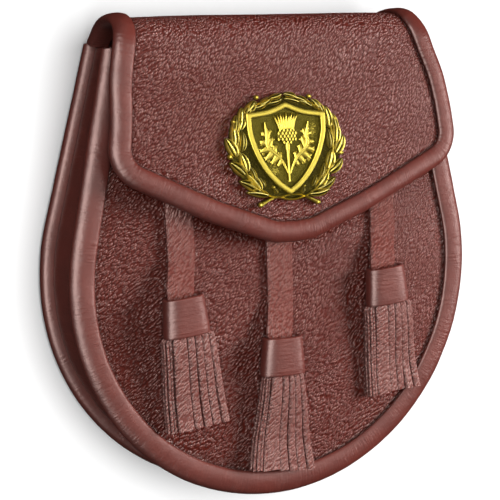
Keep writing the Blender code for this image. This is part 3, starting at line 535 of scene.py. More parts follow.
def back_height(x, y):
    """Middle of the back panel's leather."""
    inwards = smooth_step((edge_distance(x, y, BACK_LEAN) - DISH_START) / (DISH_END - DISH_START))
    fade = 1 - smooth_step((y - DISH_FADE_Y[0]) / (DISH_FADE_Y[1] - DISH_FADE_Y[0]))
    return BINDING_DEPTH / 2 + DISH * inwards * fade


def panel_grid(top, lean, rows, columns):
    """Rows across a panel, closer together at its round bottom: x and y as arrays."""
    share = np.linspace(0.0, 1.0, rows)
    start = PANEL_EDGE + 0.02
    y = start + (top - start) * (share ** 1.5 * 0.55 + share * 0.45)
    edge_x, edge_y = outline(PANEL_EDGE, top, lean)
    middle = len(edge_x) // 2
    half = np.interp(y, edge_y[middle:], edge_x[middle:])
    across = np.sin(np.linspace(-1.0, 1.0, columns) * math.pi / 2 * 0.94) / math.sin(math.pi / 2 * 0.94)
    return half[:, None] * across[None, :], np.repeat(y[:, None], columns, axis=1)


def make_panels():
    """The domed front panel and the pressed-in back panel."""
    x, y = panel_grid(MOUTH_Y, FRONT_LEAN, 190, 150)
    z = front_height(x, y) + PANEL_LEATHER / 2
    grid = np.stack((x, y, z), axis=2)[::-1]
    distance = edge_distance(x, y, FRONT_LEAN)[::-1]
    inner = smooth_step((distance - BINDING_FACE) / 12.0)
    grid[..., 2] += inner * 0.22 * noise_at(grid, 26.0, 1) + 0.05 * noise_at(grid, 5.0, 2)
    # Painted shade in the groove along the binding's inner edge.
    seam = np.exp(-((distance - BINDING_FACE) / 1.6) ** 2)
    shape = Shape()
    shape.add_sheet(grid, 1.0 - 0.85 * seam)
    shape.build("front_panel_grained", GRAIN, "grain_leather", ["front_panel"], thickness=PANEL_LEATHER)

    x, y = panel_grid(BACK_TOP_Y, BACK_LEAN, 110, 90)
    grid = np.stack((x, y, back_height(x, y) - PANEL_LEATHER / 2), axis=2)
    shape = Shape()
    shape.add_sheet(grid)
    shape.build("back_panel_grained", GRAIN, "grain_leather", ["back_panel"], thickness=PANEL_LEATHER)


def make_gusset():
    """The side wall, folded inwards, with shallow creases across it."""
    low, high = BINDING_DEPTH + CLEAR, POUCH_DEPTH - BINDING_DEPTH - CLEAR
    middle = (low + high) / 2
    keys = ((GUSSET_EDGE, low), (GUSSET_EDGE + 0.1, low + 2.5), (GUSSET_EDGE + 1.7, middle - 4.0),
            (GUSSET_EDGE + GUSSET_FOLD, middle), (GUSSET_EDGE + 1.7, middle + 4.0),
            (GUSSET_EDGE + 0.1, high - 2.5), (GUSSET_EDGE, high))
    rows = []
    for inset, z in curve_through(keys, 26):
        lean = BACK_LEAN + (FRONT_LEAN - BACK_LEAN) * z / POUCH_DEPTH
        x, y = outline(inset - PANEL_LEATHER / 2, MOUTH_Y, lean)
        rows.append(np.stack((x, y, np.full_like(x, z)), axis=1))
    grid = np.array(rows[::-1])
    creases = noise_at(grid * np.array((1.0, 1.0, 0.35)), 5.0, 3)
    grid += grid_normals(grid) * (0.18 * creases)[..., None]
    shape = Shape()
    shape.add_sheet(grid)
    shape.build("gusset_creased", SMOOTH, "smooth_leather", ["gusset"], thickness=PANEL_LEATHER)


# A folded binding's section: distance from the pouch's edge and height above its middle, from the inner
# edge on the face, round the outside, to the lip that the gusset meets, and back along the inside.
BINDING_SKIN = ((9.55, 1.15), (9.75, 1.75), (9.1, 2.32), (7.6, 2.72), (5.6, 2.86), (3.5, 2.66), (1.7, 2.05),
                (0.45, 1.05), (0.0, 0.0), (0.4, -1.05), (1.4, -1.95), (3.0, -2.4), (5.0, -2.5), (6.5, -2.5))
BINDING_LINING = ((6.5, -1.5), (3.4, -1.25), (2.6, 0.0), (3.4, 1.12), (9.0, 1.1))


def make_pouch_bindings():
    """Plump folded strips round both panels, with fine creases across their roll."""
    sides = (("front_binding", POUCH_DEPTH - BINDING_DEPTH / 2, 1, MOUTH_Y, FRONT_LEAN, 4),
             ("back_binding", BINDING_DEPTH / 2, -1, BACK_TOP_Y, BACK_LEAN, 5))
    skin = curve_through(BINDING_SKIN, 34)
    profile = np.vstack((skin, BINDING_LINING))
    for name, middle, facing, top, lean, seed in sides:
        rows = []
        for inset, height in profile:
            if facing < 0 and height > 0:
                height = min(height, BINDING_DEPTH / 2)
            x, y = outline(inset, top, lean)
            rows.append(np.stack((x, y, np.full_like(x, middle + facing * height)), axis=1))
        grid = np.array(rows)
        normals = grid_normals(grid, wrap=True)
        creases = noise_at(grid * np.array((1.0, 1.0, 0.4)), 2.3, seed)
        swell = noise_at(grid, 16.0, seed + 10)
        strength = np.zeros(len(profile))
        strength[3:len(skin) - 6] = 1.0
        amount = (0.055 * creases + 0.14 * swell) * strength[:, None]
        if facing < 0:
            # The back binding lies on the floor, so its face is pressed flat.
            amount = np.where(grid[..., 2] < 0.6, 0.0, amount * 0.5)
        grid += normals * amount[..., None]
        shape = Shape()
        shape.add_tube(grid)
        shape.build(name + "_rolled", SMOOTH, "smooth_leather", [name], sharp=60.0)


# ---------------------------------------------------------------- the flap

def rounded_path(corners, step):
    """A polyline with rounded corners through rows of (a, b, radius), at about equal steps."""
    points = [np.array(corners[0][:2], float)]
    for before, corner, after in zip(corners, corners[1:], corners[2:]):
        here = Vector(corner[:2])
        incoming = (here - Vector(before[:2])).normalized()
        outgoing = (Vector(after[:2]) - here).normalized()
        turn = math.atan2(incoming.x * outgoing.y - incoming.y * outgoing.x, incoming.dot(outgoing))
        reach = corner[2] * math.tan(abs(turn) / 2)
        normal = Vector((-incoming.y, incoming.x)) * math.copysign(1.0, turn)
        centre = here - incoming * reach + normal * corner[2]
        start = math.atan2(-normal.y, -normal.x)
        for share in np.linspace(0.0, 1.0, 40):
            angle = start + turn * share
            points.append(np.array((centre.x + corner[2] * math.cos(angle),
                                    centre.y + corner[2] * math.sin(angle))))
    points.append(np.array(corners[-1][:2], float))
    line = np.array(points)
    along = np.concatenate(([0.0], np.cumsum(np.linalg.norm(np.diff(line, axis=0), axis=1))))
    count = int(along[-1] / step) + 1
    steps = np.linspace(0.0, along[-1], count)
    return np.stack([np.interp(steps, along, line[:, k]) for k in (0, 1)], axis=1)


SECTION = rounded_path(FLAP_SECTION, 0.25)
SECTION_RUN = np.concatenate(([0.0], np.cumsum(np.linalg.norm(np.diff(SECTION, axis=0), axis=1))))
SECTION_SLOPE = np.gradient(SECTION, axis=0)
SECTION_SLOPE /= np.linalg.norm(SECTION_SLOPE, axis=1, keepdims=True)


def flap_run(y):
    """Distance along the leather of a height on the flap's front face."""
    return SECTION_RUN[-1] - (y - SECTION[-1, 0]) / -SECTION_SLOPE[-1, 0]


TIP_RUNS = (flap_run(FLAP_CORNERS[2][1]), flap_run(FLAP_CORNERS[-1][1]))


def flap_points(across, run, lift=0.0):
    """Points of the flap: across its width, along the leather and lifted off its middle."""
    across, run, lift = np.broadcast_arrays(across, run, lift)
    y = np.interp(run, SECTION_RUN, SECTION[:, 0])
    z = np.interp(run, SECTION_RUN, SECTION[:, 1])
    beyond = np.maximum(run - SECTION_RUN[-1], 0.0)
    y = y + beyond * SECTION_SLOPE[-1, 0]
    z = z + beyond * SECTION_SLOPE[-1, 1]
    normal_y = np.interp(run, SECTION_RUN, SECTION_SLOPE[:, 1])
    normal_z = -np.interp(run, SECTION_RUN, SECTION_SLOPE[:, 0])
    lower = smooth_step((run - FLAP_SHIFT_RUNS[0]) / (FLAP_SHIFT_RUNS[1] - FLAP_SHIFT_RUNS[0]))
    tip = smooth_step((run - TIP_RUNS[0]) / (TIP_RUNS[1] - TIP_RUNS[0]))
    shift = FLAP_SHIFT[0] + (FLAP_SHIFT[1] - FLAP_SHIFT[0]) * lower + (FLAP_SHIFT[2] - FLAP_SHIFT[1]) * tip
    droop = FLAP_DROOP * lower * (np.abs(across) / FLAP_HALF_WIDTH) ** 2.5
    tilt = FLAP_TILT * across / FLAP_BACK_CORNER * smooth_step((run - FLAP_EDGE_RUN) / 15.0) * (1 - lower)
    rise = FLAP_LEFT_RISE * lower * np.clip(-across / FLAP_HALF_WIDTH, 0.0, 1.0) ** 1.3
    return np.stack((across + shift, y + rise + normal_y * lift - tilt, z + normal_z * lift - droop), axis=-1)


def flap_edge(step):
    """The flap's right-hand edge as (across, run) points from the back to the tip."""
    corners = [(FLAP_BACK_CORNER, FLAP_EDGE_RUN, 0.0)]
    corners += [(half, flap_run(y), radius) for half, y, radius in FLAP_CORNERS]
    return rounded_path(corners, step)


def full_edge(step):
    """Both edges of the flap in one line, from the back left over the tip to the back right."""
    right = flap_edge(step)
    left = right[:-1] * np.array((-1.0, 1.0))
    return np.vstack((left, right[::-1]))


def inwards(line):
    """Unit vectors that point from an edge line towards the flap's middle."""
    slope = np.gradient(line, axis=0)
    slope /= np.linalg.norm(slope, axis=1, keepdims=True)
    return np.stack((-slope[:, 1], slope[:, 0]), axis=1) * -1.0


STITCH_PITCH, STITCH_LENGTH, STITCH_INSET = 3.1, 1.9, 0.75


def make_flap():
    """The flap's leather, dipping to its seam, with small puckers between the stitches."""
    line = full_edge(0.5)
    moved = line + inwards(line) * FLAP_EDGE_INSET
    moved = moved[moved[:, 0] > 0.6]
    order = np.argsort(moved[:, 1])
    tuck_runs = np.linspace(0.0, FLAP_TUCK_RUN, 12)
    runs = np.concatenate((tuck_runs, np.arange(FLAP_EDGE_RUN, moved[:, 1].max(), 0.95)))
    halves = np.interp(runs, moved[order, 1], moved[order, 0])
    halves = np.where(runs <= FLAP_TUCK_RUN + 0.01, FLAP_TUCK, halves)
    shares = np.sin(np.linspace(-1.0, 1.0, 150) * math.pi / 2 * 0.8) / math.sin(math.pi / 2 * 0.8)
    across = halves[:, None] * shares[None, :]
    run = np.repeat(runs[:, None], len(shares), axis=1)
    distance, along = nearest_on(line, np.stack((across, run), axis=2))
    from_seam = distance - FLAP_BINDING_FACE
    dip = 0.60 * np.exp(-(np.maximum(from_seam, 0.0) / 1.2) ** 2)
    grid = flap_points(across, run, PANEL_LEATHER / 2)
    soft = smooth_step((from_seam - 2.0) / 15.0)
    crown = 0.25 * soft
    pucker = 0.07 * np.cos(2 * math.pi * along / STITCH_PITCH) * np.exp(-((from_seam - 1.4) / 0.8) ** 2)
    lift = crown - dip + pucker + 0.16 * soft * noise_at(grid, 22.0, 6) + 0.04 * noise_at(grid, 5.0, 7)
    lift = np.where(run < FLAP_EDGE_RUN + 4.0, 0.0, lift)
    grid = flap_points(across, run, PANEL_LEATHER / 2 + lift)
    shade = 1.0 - 0.9 * np.exp(-(from_seam / 0.6) ** 2) * (from_seam > -3.0)
    shape = Shape()
    shape.add_sheet(grid, shade)
    shape.build("flap_grained", GRAIN, "grain_leather", ["flap"], thickness=PANEL_LEATHER)


def nearest_on(line, places):
    """Distance to a line and distance along it, for every place in an array."""
    along = np.concatenate(([0.0], np.cumsum(np.linalg.norm(np.diff(line, axis=0), axis=1))))
    flat = places.reshape(-1, 2)
    best, where = np.empty(len(flat)), np.empty(len(flat))
    for start in range(0, len(flat), 4000):
        block = flat[start:start + 4000]
        gaps = np.hypot(block[:, None, 0] - line[None, :, 0], block[:, None, 1] - line[None, :, 1])
        index = gaps.argmin(axis=1)
        best[start:start + 4000] = gaps[np.arange(len(block)), index]
        where[start:start + 4000] = along[index]
    shape = places.shape[:-1]
    return best.reshape(shape), where.reshape(shape)


# The flap binding's section: distance from its edge and height above the flap's middle.
FLAP_BINDING_SKIN = ((7.7, 0.85), (7.75, 1.45), (7.1, 2.1), (5.9, 2.5), (4.2, 2.7), (2.3, 2.5), (0.7, 1.85),
                     (-0.3, 0.85), (-0.6, -0.1), (-0.1, -1.05), (1.1, -1.85), (2.8, -2.2), (5.0, -2.25),
                     (7.5, -2.25))
FLAP_BINDING_LINING = ((7.5, -1.3), (3.0, -1.25), (1.4, 0.0), (3.0, 1.2), (7.0, 1.15))


def make_flap_binding():
    """The rolled strip round the flap, puckered by the stitches along its inner edge."""
    edge = full_edge(0.42)
    skin = curve_through(FLAP_BINDING_SKIN, 36)
    profile = np.vstack((skin, FLAP_BINDING_LINING))
    along = np.concatenate(([0.0], np.cumsum(np.linalg.norm(np.diff(edge, axis=0), axis=1))))
    aim = inwards(edge)
    kernel = np.ones(15) / 15
    padded = np.pad(aim, ((7, 7), (0, 0)), mode="edge")
    aim = np.stack([np.convolve(padded[:, k], kernel, mode="valid") for k in (0, 1)], axis=1)
    aim /= np.linalg.norm(aim, axis=1, keepdims=True)
    rows = []
    for inset, lift in profile:
        moved = edge + aim * inset
        rows.append(flap_points(moved[:, 0], moved[:, 1], lift))
    grid = np.array(rows)
    normals = grid_normals(grid, wrap=True)
    facing = np.sign((normals[10, :, 2]).mean())
    inset_of = profile[:, 0]
    face = (profile[:, 1] > 0.5) & (np.arange(len(profile)) < len(skin))
    seam = np.where(face, smooth_step((inset_of - 4.2) / 3.2), 0.0)
    ridges = np.clip(np.cos(2 * math.pi * along / STITCH_PITCH), 0.0, 1.0) ** 2
    puckers = 0.10 * seam[:, None] * ridges[None, :]
    roll = np.where(np.arange(len(profile)) < len(skin) - 4, 1.0, 0.0)
    creases = 0.05 * noise_at(grid, 2.2, 8) + 0.13 * noise_at(grid, 13.0, 9)
    grid += normals * facing * (puckers + creases * roll[:, None])[..., None]
    shape = Shape()
    # Painted shade on the binding's inner edge, at the seam.
    dark = np.where(face, 1.0 - 0.6 * smooth_step((inset_of - 7.2) / 0.5), 1.0)
    shape.add_tube(grid, np.repeat(dark[:, None], grid.shape[1], axis=1))
    shape.build("flap_binding_rolled", SMOOTH, "smooth_leather", ["flap_binding"], sharp=60.0)


def make_stitches():
    """Short dark threads that lie along the seam beside the flap's binding."""
    edge = full_edge(0.42)
    along = np.concatenate(([0.0], np.cumsum(np.linalg.norm(np.diff(edge, axis=0), axis=1))))
    line = edge + inwards(edge) * (FLAP_BINDING_FACE + STITCH_INSET)
    keys = ((-0.5, 0.1), (-0.42, 0.55), (-0.2, 0.80), (0.2, 0.80), (0.42, 0.55), (0.5, 0.1))
    shape = Shape()
    for distance in np.arange(STITCH_PITCH / 2, along[-1], STITCH_PITCH):
        thread = []
        for share, lift in keys:
            spot = [np.interp(distance + share * STITCH_LENGTH, along, line[:, k]) for k in (0, 1)]
            thread.append(flap_points(spot[0], spot[1], lift))
        add_thread(shape, np.array(thread), 0.22)
    shape.build("flap_stitches", SMOOTH, "smooth_leather")


def add_thread(shape, keys, radius, sides=6):
    """A thin round thread through a few points."""
    slope = np.gradient(keys, axis=0)
    slope /= np.linalg.norm(slope, axis=1, keepdims=True)
    side = np.cross(slope, (0.0, 0.0, 1.0))
    side /= np.maximum(np.linalg.norm(side, axis=1, keepdims=True), 1e-6)
    up = np.cross(side, slope)
    turns = np.linspace(0.0, 2 * math.pi, sides, endpoint=False)
    grid = [keys + radius * (math.cos(turn) * side + math.sin(turn) * up) for turn in turns]
    shape.add_tube(np.array(grid), 0.25)


# ---------------------------------------------------------------- straps and tassels

def swing(points, x, head_top, lean):
    """Turn points of a tassel about the middle of its head's top edge."""
    points = np.asarray(points, float)
    dx, dy = points[..., 0] - x, points[..., 1] - head_top
    turned = points.copy()
    turned[..., 0] = x + dx * math.cos(lean) - dy * math.sin(lean)
    turned[..., 1] = head_top + dx * math.sin(lean) + dy * math.cos(lean)
    return turned


def head_middle(x, head_top):
    """Depth of a tassel's axis: its head rests on the front panel."""
    reach = HEAD_WIDTH / 4
    places = [(x + dx, head_top - dy) for dx in (-reach, 0.0, reach) for dy in (0.0, HEAD_LENGTH)]
    highest = max(float(front_height(*place)) for place in places)
    return highest + PANEL_LEATHER / 2 + CLEAR + HEAD_THICKNESS / 2


def strip_section(half, thickness, crown=0.12, count=11):
    """A flat strip's section with rounded edges: (across, height) points, closed on itself."""
    corner = min(0.42 * thickness, half * 0.5)
    across = np.linspace(-half + corner, half - corner, count)
    bulge = crown * (1 - (across / half) ** 2)
    top = [(a, thickness / 2 + b) for a, b in zip(across, bulge)]
    right = [(half - 0.25 * corner, thickness / 2 - 0.3 * corner), (half, 0.0),
             (half - 0.25 * corner, -thickness / 2 + 0.3 * corner)]
    bottom = [(a, -thickness / 2) for a in across[::-1]]
    left = [(-a, h) for a, h in reversed(right)]
    return np.array(top + right + bottom + left)


def strip_tube(middles, halves, thickness, tilt=0.0, crown=0.12, normals=None):
    """A strip along a line of (x, y, z) middles, its width along X: a grid for add_tube."""
    slope = np.gradient(middles, axis=0)
    slope /= np.linalg.norm(slope, axis=1, keepdims=True)
    sideways = np.cross(slope, (0.0, 0.0, 1.0))
    sideways /= np.linalg.norm(sideways, axis=1, keepdims=True)
    sideways *= np.sign(sideways[:, :1])
    up = np.cross(sideways, slope)
    up *= np.sign(up[:, 2:3])
    tilts = np.broadcast_to(tilt, (len(middles),))
    sections = [strip_section(half, thickness, crown) for half in halves]
    grid = []
    for k in range(len(sections[0])):
        a = np.array([section[k, 0] for section in sections])[:, None]
        h = np.array([section[k, 1] for section in sections])[:, None]
        grid.append(middles + sideways * a + up * (h + a * np.tan(tilts)[:, None]))
    return np.array(grid)


def make_straps():
    """Straps that lie on the front panel and rise into the tassel heads."""
    lift = PANEL_LEATHER / 2 + CLEAR + STRAP_LEATHER / 2
    for name, x, top, head_top, *rest in TASSELS:
        bottom = head_top - STRAP_TONGUE
        y = np.linspace(top, bottom, 60)
        rise = smooth_step((head_top + STRAP_RISE - y) / STRAP_RISE)
        place = x + STRAP_MIDDLE_SHIFT * (1 - rise) - STRAP_BOTTOM_SHIFT * rise
        height = (front_height(place, y) + lift) * (1 - rise) + (head_middle(x, head_top) - 0.5) * rise
        middles = np.stack((place, y, height), axis=1)
        middles[:, 0] += 0.22 * noise_at(middles, 17.0, 20 + x)
        halves = np.full(len(y), STRAP_WIDTH / 2) + 0.12 * noise_at(middles, 6.0, 21 + x)
        halves -= 0.35 * smooth_step((head_top + 2.0 - y) / 2.0)
        grid = strip_tube(middles, halves, STRAP_LEATHER)
        shape = Shape()
        shape.add_tube(grid)
        shape.build("strap_%s_cut" % name, STRAP_GRAIN, "grain_leather", ["strap_" + name], sharp=45.0)


def make_heads():
    """Wrapped tassel heads: a smooth squarish tube with rolled rims."""
    sides, squared = 72, 0.75
    turns = np.linspace(0.0, 2 * math.pi, sides, endpoint=False)
    c, s = np.cos(turns), np.sin(turns)
    unit_x = np.sign(c) * np.abs(c) ** squared
    unit_z = np.sign(s) * np.abs(s) ** squared
    # Share of the length from the top, and how far the wall stands from its middle, outside then inside.
    wall = ((0.0, -0.25), (-0.015, 0.15), (0.0, 0.62), (0.03, 0.80), (0.08, 0.72), (0.25, 0.74), (0.5, 0.78),
            (0.75, 0.78), (0.92, 0.74), (1.03, 0.62), (1.055, 0.3), (1.05, -0.35), (1.0, -0.72), (0.5, -0.75),
            (0.05, -0.72))
    profile = curve_through(wall + wall[:1], 64)[:-1]
    for name, x, top, head_top, end, lean, *rest in TASSELS:
        middle = head_middle(x, head_top)
        rows = []
        for share, out in profile:
            half_width = (HEAD_WIDTH - HEAD_LEATHER) / 2 + HEAD_FLARE * share + out
            half_depth = (HEAD_THICKNESS - HEAD_LEATHER) / 2 + out
            y = np.full(sides, head_top - share * HEAD_LENGTH)
            rows.append(np.stack((x + unit_x * half_width, y, middle + unit_z * half_depth), axis=1))
        grid = swing(np.array(rows), x, head_top, lean)
        normals = grid_normals(np.concatenate((grid, grid[:, :1]), axis=1), wrap=True)[:, :-1]
        centre = grid.mean(axis=0, keepdims=True)
        facing = np.sign(((grid - centre)[2:20] * normals[2:20]).sum())
        creases = noise_at(grid * np.array((0.35, 1.0, 0.35)), 1.5, 30 + x)
        grid += normals * facing * (0.05 * creases)[..., None]
        shape = Shape()
        flow = np.zeros(grid.shape)
        flow[..., 0], flow[..., 1] = profile[:, :1] * HEAD_LENGTH, turns[None, :] * HEAD_WIDTH / 2
        shape.add(grid, tube_faces(len(profile), sides), flow=flow)
        shape.build("tassel_head_%s_wrapped" % name, SMOOTH, "smooth_leather", ["tassel_head_" + name])


def tube_faces(rows, sides):
    """Quads of a grid that closes on itself both ways."""
    faces = []
    for i in range(rows):
        for k in range(sides):
            n, m = (i + 1) % rows, (k + 1) % sides
            faces.append((i * sides + k, n * sides + k, n * sides + m, i * sides + m))
    return faces


def resting_height(x, y):
    """Top of what a fringe rests on: the front panel or the face of its binding."""
    on_binding = edge_distance(x, y, FRONT_LEAN) < BINDING_FACE + 1.5
    return np.where(on_binding, POUCH_DEPTH + 0.35, front_height(x, y) + PANEL_LEATHER / 2)


def fringe_strip(shape, tassel, layer, cuts, lifted, seed):
    """One cut strip from inside the head to the fringe's end, slightly bowed."""
    name, x, top, head_top, end, lean, sway, width, quick, slant = tassel
    end -= slant * (1 + sum(cuts) / 2) / 2
    plug_bottom = head_top - HEAD_LENGTH + 2.5
    middle = head_middle(x, head_top)
    half_top = HEAD_WIDTH / 2 - HEAD_LEATHER - CLEAR
    half_end = (width + FRINGE_WIDER) / 2
    share = np.linspace(0.0, 1.0, 46)
    jitter = noise.noise(Vector((seed * 3.7, x, 1.0)))
    y = plug_bottom + (end + 0.6 * jitter - plug_bottom) * share
    spread = quick * smooth_step((share - 0.02) / 0.09) + (1 - quick) * share
    reach = half_top * (1 - spread) + half_end * spread
    sides = [x + cut * reach + sway * share + slit * FRINGE_SLIT / 2 for cut, slit in zip(cuts, (1, -1))]
    inner = 1 - (sum(cuts) / 2) ** 2
    z = middle + (1.9 * inner + lifted * spread if layer == "front" else -1.4)
    corners = [swing(np.stack((side, y, y * 0), axis=1), x, head_top, lean) for side in sides]
    rest = np.maximum(*[resting_height(c[:, 0], c[:, 1]) for c in corners]) + CLEAR + FRINGE_STRIP / 2
    rest = np.maximum.accumulate(rest[::-1])[::-1] * 0.5 + rest * 0.5
    rest = np.convolve(np.pad(rest, 9, mode="edge"), np.ones(19) / 19, mode="valid") + lifted
    rest = rest if layer == "back" else rest + FRINGE_STRIP + 0.75
    settled = smooth_step(share / 0.75)
    z = z * (1 - settled) + rest * settled
    waver = noise_at(np.stack((sides[0] * 0.2, y, y * 0), axis=1), 12.0, seed) * share
    middles = np.stack(((sides[0] + sides[1]) / 2 + 0.15 * waver, y, z + 0.25 * np.abs(waver)), axis=1)
    tilt = math.tan(math.radians(5.0) * jitter) * share
    rows = []
    sections = [strip_section(half, FRINGE_STRIP, crown=0.1) for half in (sides[1] - sides[0]) / 2]
    for k in range(len(sections[0])):
        across = np.array([section[k, 0] for section in sections])
        height = np.array([section[k, 1] for section in sections]) + across * tilt
        rows.append(middles + np.stack((across, across * 0, height), axis=1))
    shape.add_tube(swing(np.array(rows), x, head_top, lean))


def make_fringes():
    """The cut fringes under the heads, in two layers."""
    for index, tassel in enumerate(TASSELS):
        shape = Shape()
        for layer, cuts in FRINGE_CUTS.items():
            for k, pair in enumerate(zip(cuts, cuts[1:])):
                lifted = FRINGE_LIFTS[layer][k]
                fringe_strip(shape, tassel, layer, pair, lifted, seed=40 + 13 * index + k + len(cuts))
        name = tassel[0]
        shape.build("tassel_fringe_%s_cut" % name, STRAP_GRAIN, "grain_leather", ["tassel_fringe_" + name],
                    sharp=45.0)


# ---------------------------------------------------------------- the badge

# Sections of cast bars and leaves: share across, share of the height and polish.
BAR_SECTION = ((-1.0, 0.0, 0.0), (-0.85, 0.5, 0.35), (-0.5, 0.88, 1.0), (0.0, 1.0, 1.0), (0.5, 0.88, 1.0),
               (0.85, 0.5, 0.35), (1.0, 0.0, 0.0))
LOBE_SECTION = ((-1.0, 0.0, 0.0), (-0.93, 0.7, 0.6), (-0.78, 0.94, 1.0), (0.0, 1.0, 1.0), (0.78, 0.94, 1.0),
                (0.93, 0.7, 0.6), (1.0, 0.0, 0.0))
# A leaf's polish above 1, at its edges and vein, brings in the palest gold: partly polish, partly painted
# highlight.
LEAF_SECTION = ((-1.0, 0.0, -0.2), (-0.95, 0.62, 0.9), (-0.76, 0.90, 1.4), (-0.58, 0.78, 0.6),
                (-0.40, 0.52, -0.3), (-0.24, 0.66, 0.2), (-0.10, 0.94, 1.3), (0.10, 0.94, 1.3),
                (0.24, 0.66, 0.2), (0.40, 0.52, -0.3), (0.58, 0.78, 0.6), (0.76, 0.90, 1.4),
                (0.95, 0.62, 0.9), (1.0, 0.0, -0.2))


def badge_matrix():
    """The badge's plane: its origin on the flap, leaning and turned with it."""
    seat = flap_points(0.0, flap_run(BADGE_CENTRE[1]), PANEL_LEATHER / 2)[2] + CLEAR
    lean = -math.atan2(SECTION_SLOPE[-1, 1], -SECTION_SLOPE[-1, 0])
    skew = Matrix(((1.0, -BADGE_SKEW, 0.0), (-BADGE_SKEW, 1.0, 0.0), (0.0, 0.0, 1.0)))
    turn = Matrix.Rotation(lean, 3, "X") @ Matrix.Rotation(BADGE_TURN, 3, "Z") @ skew
    return np.array(turn), np.array((BADGE_CENTRE[0], BADGE_CENTRE[1], seat))


class Casting(Shape):
    """A shape drawn in the badge's own plane, with x to the right, y up and z off the flap."""

    def __init__(self):
        super().__init__()
        self.turn, self.seat = badge_matrix()

    def add(self, points, faces, value=1.0, flow=None):
        flat = np.asarray(points, float).reshape(-1, 3)
        super().add(flat @ self.turn.T + self.seat, faces, value, flow)

    def blade(self, path, halves, low, high, section=BAR_SECTION):
        """A long form along a path in the plane: half widths, and heights of its foot and its ridge."""
        slope = np.gradient(path, axis=0)
        slope /= np.linalg.norm(slope, axis=1, keepdims=True)
        side = np.stack((-slope[:, 1], slope[:, 0]), axis=1)
        high = np.broadcast_to(high, (len(path),))
        rows = []
        for across, rise, _ in section:
            place = path + side * (across * halves)[:, None]
            rows.append(np.column_stack((place, low + (high - low) * rise)))
        polish = np.array([row[2] for row in section])
        self.add_tube(np.array(rows), np.repeat(polish[:, None], len(path), axis=1))

    def leaf(self, base, tip, width, low, high):
        """A pointed laurel leaf with a raised edge, a vein and hollows between them."""
        share = np.linspace(0.0, 1.0, 16)
        path = base + np.outer(share, tip - base)
        along = tip - base
        path += np.outer(np.sin(math.pi * share) * 0.05, (along[1], -along[0]))
        full = np.sin(math.pi * share ** 0.85) ** 0.6
        halves = np.maximum(width / 2 * full, 0.16)
        self.blade(path, halves, low, low + (high - low) * (0.62 + 0.38 * full), LEAF_SECTION)

    def spike(self, root, tip, width, low, high):
        """A lobe that narrows from its root to a sharp tip."""
        share = np.linspace(0.0, 1.0, 7)
        path = root + np.outer(share, tip - root)
        halves = width / 2 * (1 - share ** 1.6) ** 0.6 + 0.10
        self.blade(path, halves, low, high - 0.35 * share ** 2, LOBE_SECTION)

    def dome(self, centre, reach, low, high, polish=1.0, steps=8, sides=20):
        """A rounded knob: half width and half height, its foot and its top."""
        turns = np.linspace(0.0, 2 * math.pi, sides, endpoint=False)
        rows = []
        for turn in turns:
            tilt = np.linspace(0.0, math.pi / 2, steps)
            out = np.concatenate(([1.0], np.cos(tilt[:-1]), [0.04]))
            rise = np.concatenate(([low], high - (high - low) * 0.75 * (1 - np.sin(tilt))))
            rows.append(np.column_stack((centre[0] + out * reach[0] * math.cos(turn),
                                         centre[1] + out * reach[1] * math.sin(turn), rise)))
        tone = np.concatenate(([0.0, 0.35], np.full(steps - 1, polish)))
        self.add_tube(np.array(rows), np.repeat(tone[None, :], sides, axis=0))


def shrunk(points, inset):
    """A closed outline moved inwards by an equal distance, corner by corner."""
    points = np.asarray(points, float)
    before = points - np.roll(points, 1, axis=0)
    after = np.roll(points, -1, axis=0) - points
    before /= np.linalg.norm(before, axis=1, keepdims=True)
    after /= np.linalg.norm(after, axis=1, keepdims=True)
    inwards = np.stack((before[:, 1] + after[:, 1], -before[:, 0] - after[:, 0]), axis=1) / 2
    return points + inwards * (inset / np.maximum((inwards ** 2).sum(axis=1), 0.2))[:, None]


def shield_outline(inset):
    """The shield's closed edge moved inwards, clockwise from its peak."""
    half = SHIELD_TOP + SHIELD_SIDE[1:]
    whole = half + tuple((-x, y) for x, y in reversed(half[1:-1]))
    moved = shrunk(whole, inset)
    corner, point = len(SHIELD_TOP) - 1, len(half) - 1
    top = curve_through(moved[:corner + 1], 22)
    side = curve_through(moved[corner:point + 1], 44)
    right = np.vstack((top[:-1], side))
    return np.vstack((right, right[-2:0:-1] * np.array((-1.0, 1.0))))


def cast_shield(badge):
    """The shield: a flat-topped rim round a field, worn bright in two patches."""
    rim = ((0.0, 0.1, 0.0), (0.0, SHIELD_RIM - 0.5, 0.5), (0.15, SHIELD_RIM - 0.12, 0.9), (0.4, SHIELD_RIM, 1.0),
           (1.1, SHIELD_RIM, 1.0), (SHIELD_RIM_WIDTH - 0.4, SHIELD_RIM, 1.0),
           (SHIELD_RIM_WIDTH - 0.15, SHIELD_RIM - 0.12, 0.9), (SHIELD_RIM_WIDTH, SHIELD_RIM - 0.5, 0.3),
           (SHIELD_RIM_WIDTH + 0.1, SHIELD_FIELD, 0.0))
    count = len(shield_outline(0.0))
    columns = [np.column_stack((shield_outline(inset), np.full(count, height))) for inset, height, _ in rim]
    tones = [np.full(count, tone) for *_, tone in rim]
    edge = columns[-1]
    for share in np.linspace(0.96, 0.02, 26):
        ring = edge * np.array((share, share, 1.0))
        worn = (np.exp(-((ring[:, 0] + 6.6) ** 2 + (ring[:, 1] + 9.0) ** 2) / 13.0)
                + np.exp(-((ring[:, 0] - 11.6) ** 2 + (ring[:, 1] - 6.6) ** 2) / 12.0))
        columns.append(ring)
        tones.append(0.12 + 0.38 * worn)
    badge.add_tube(np.stack(columns, axis=1), np.stack(tones, axis=1))


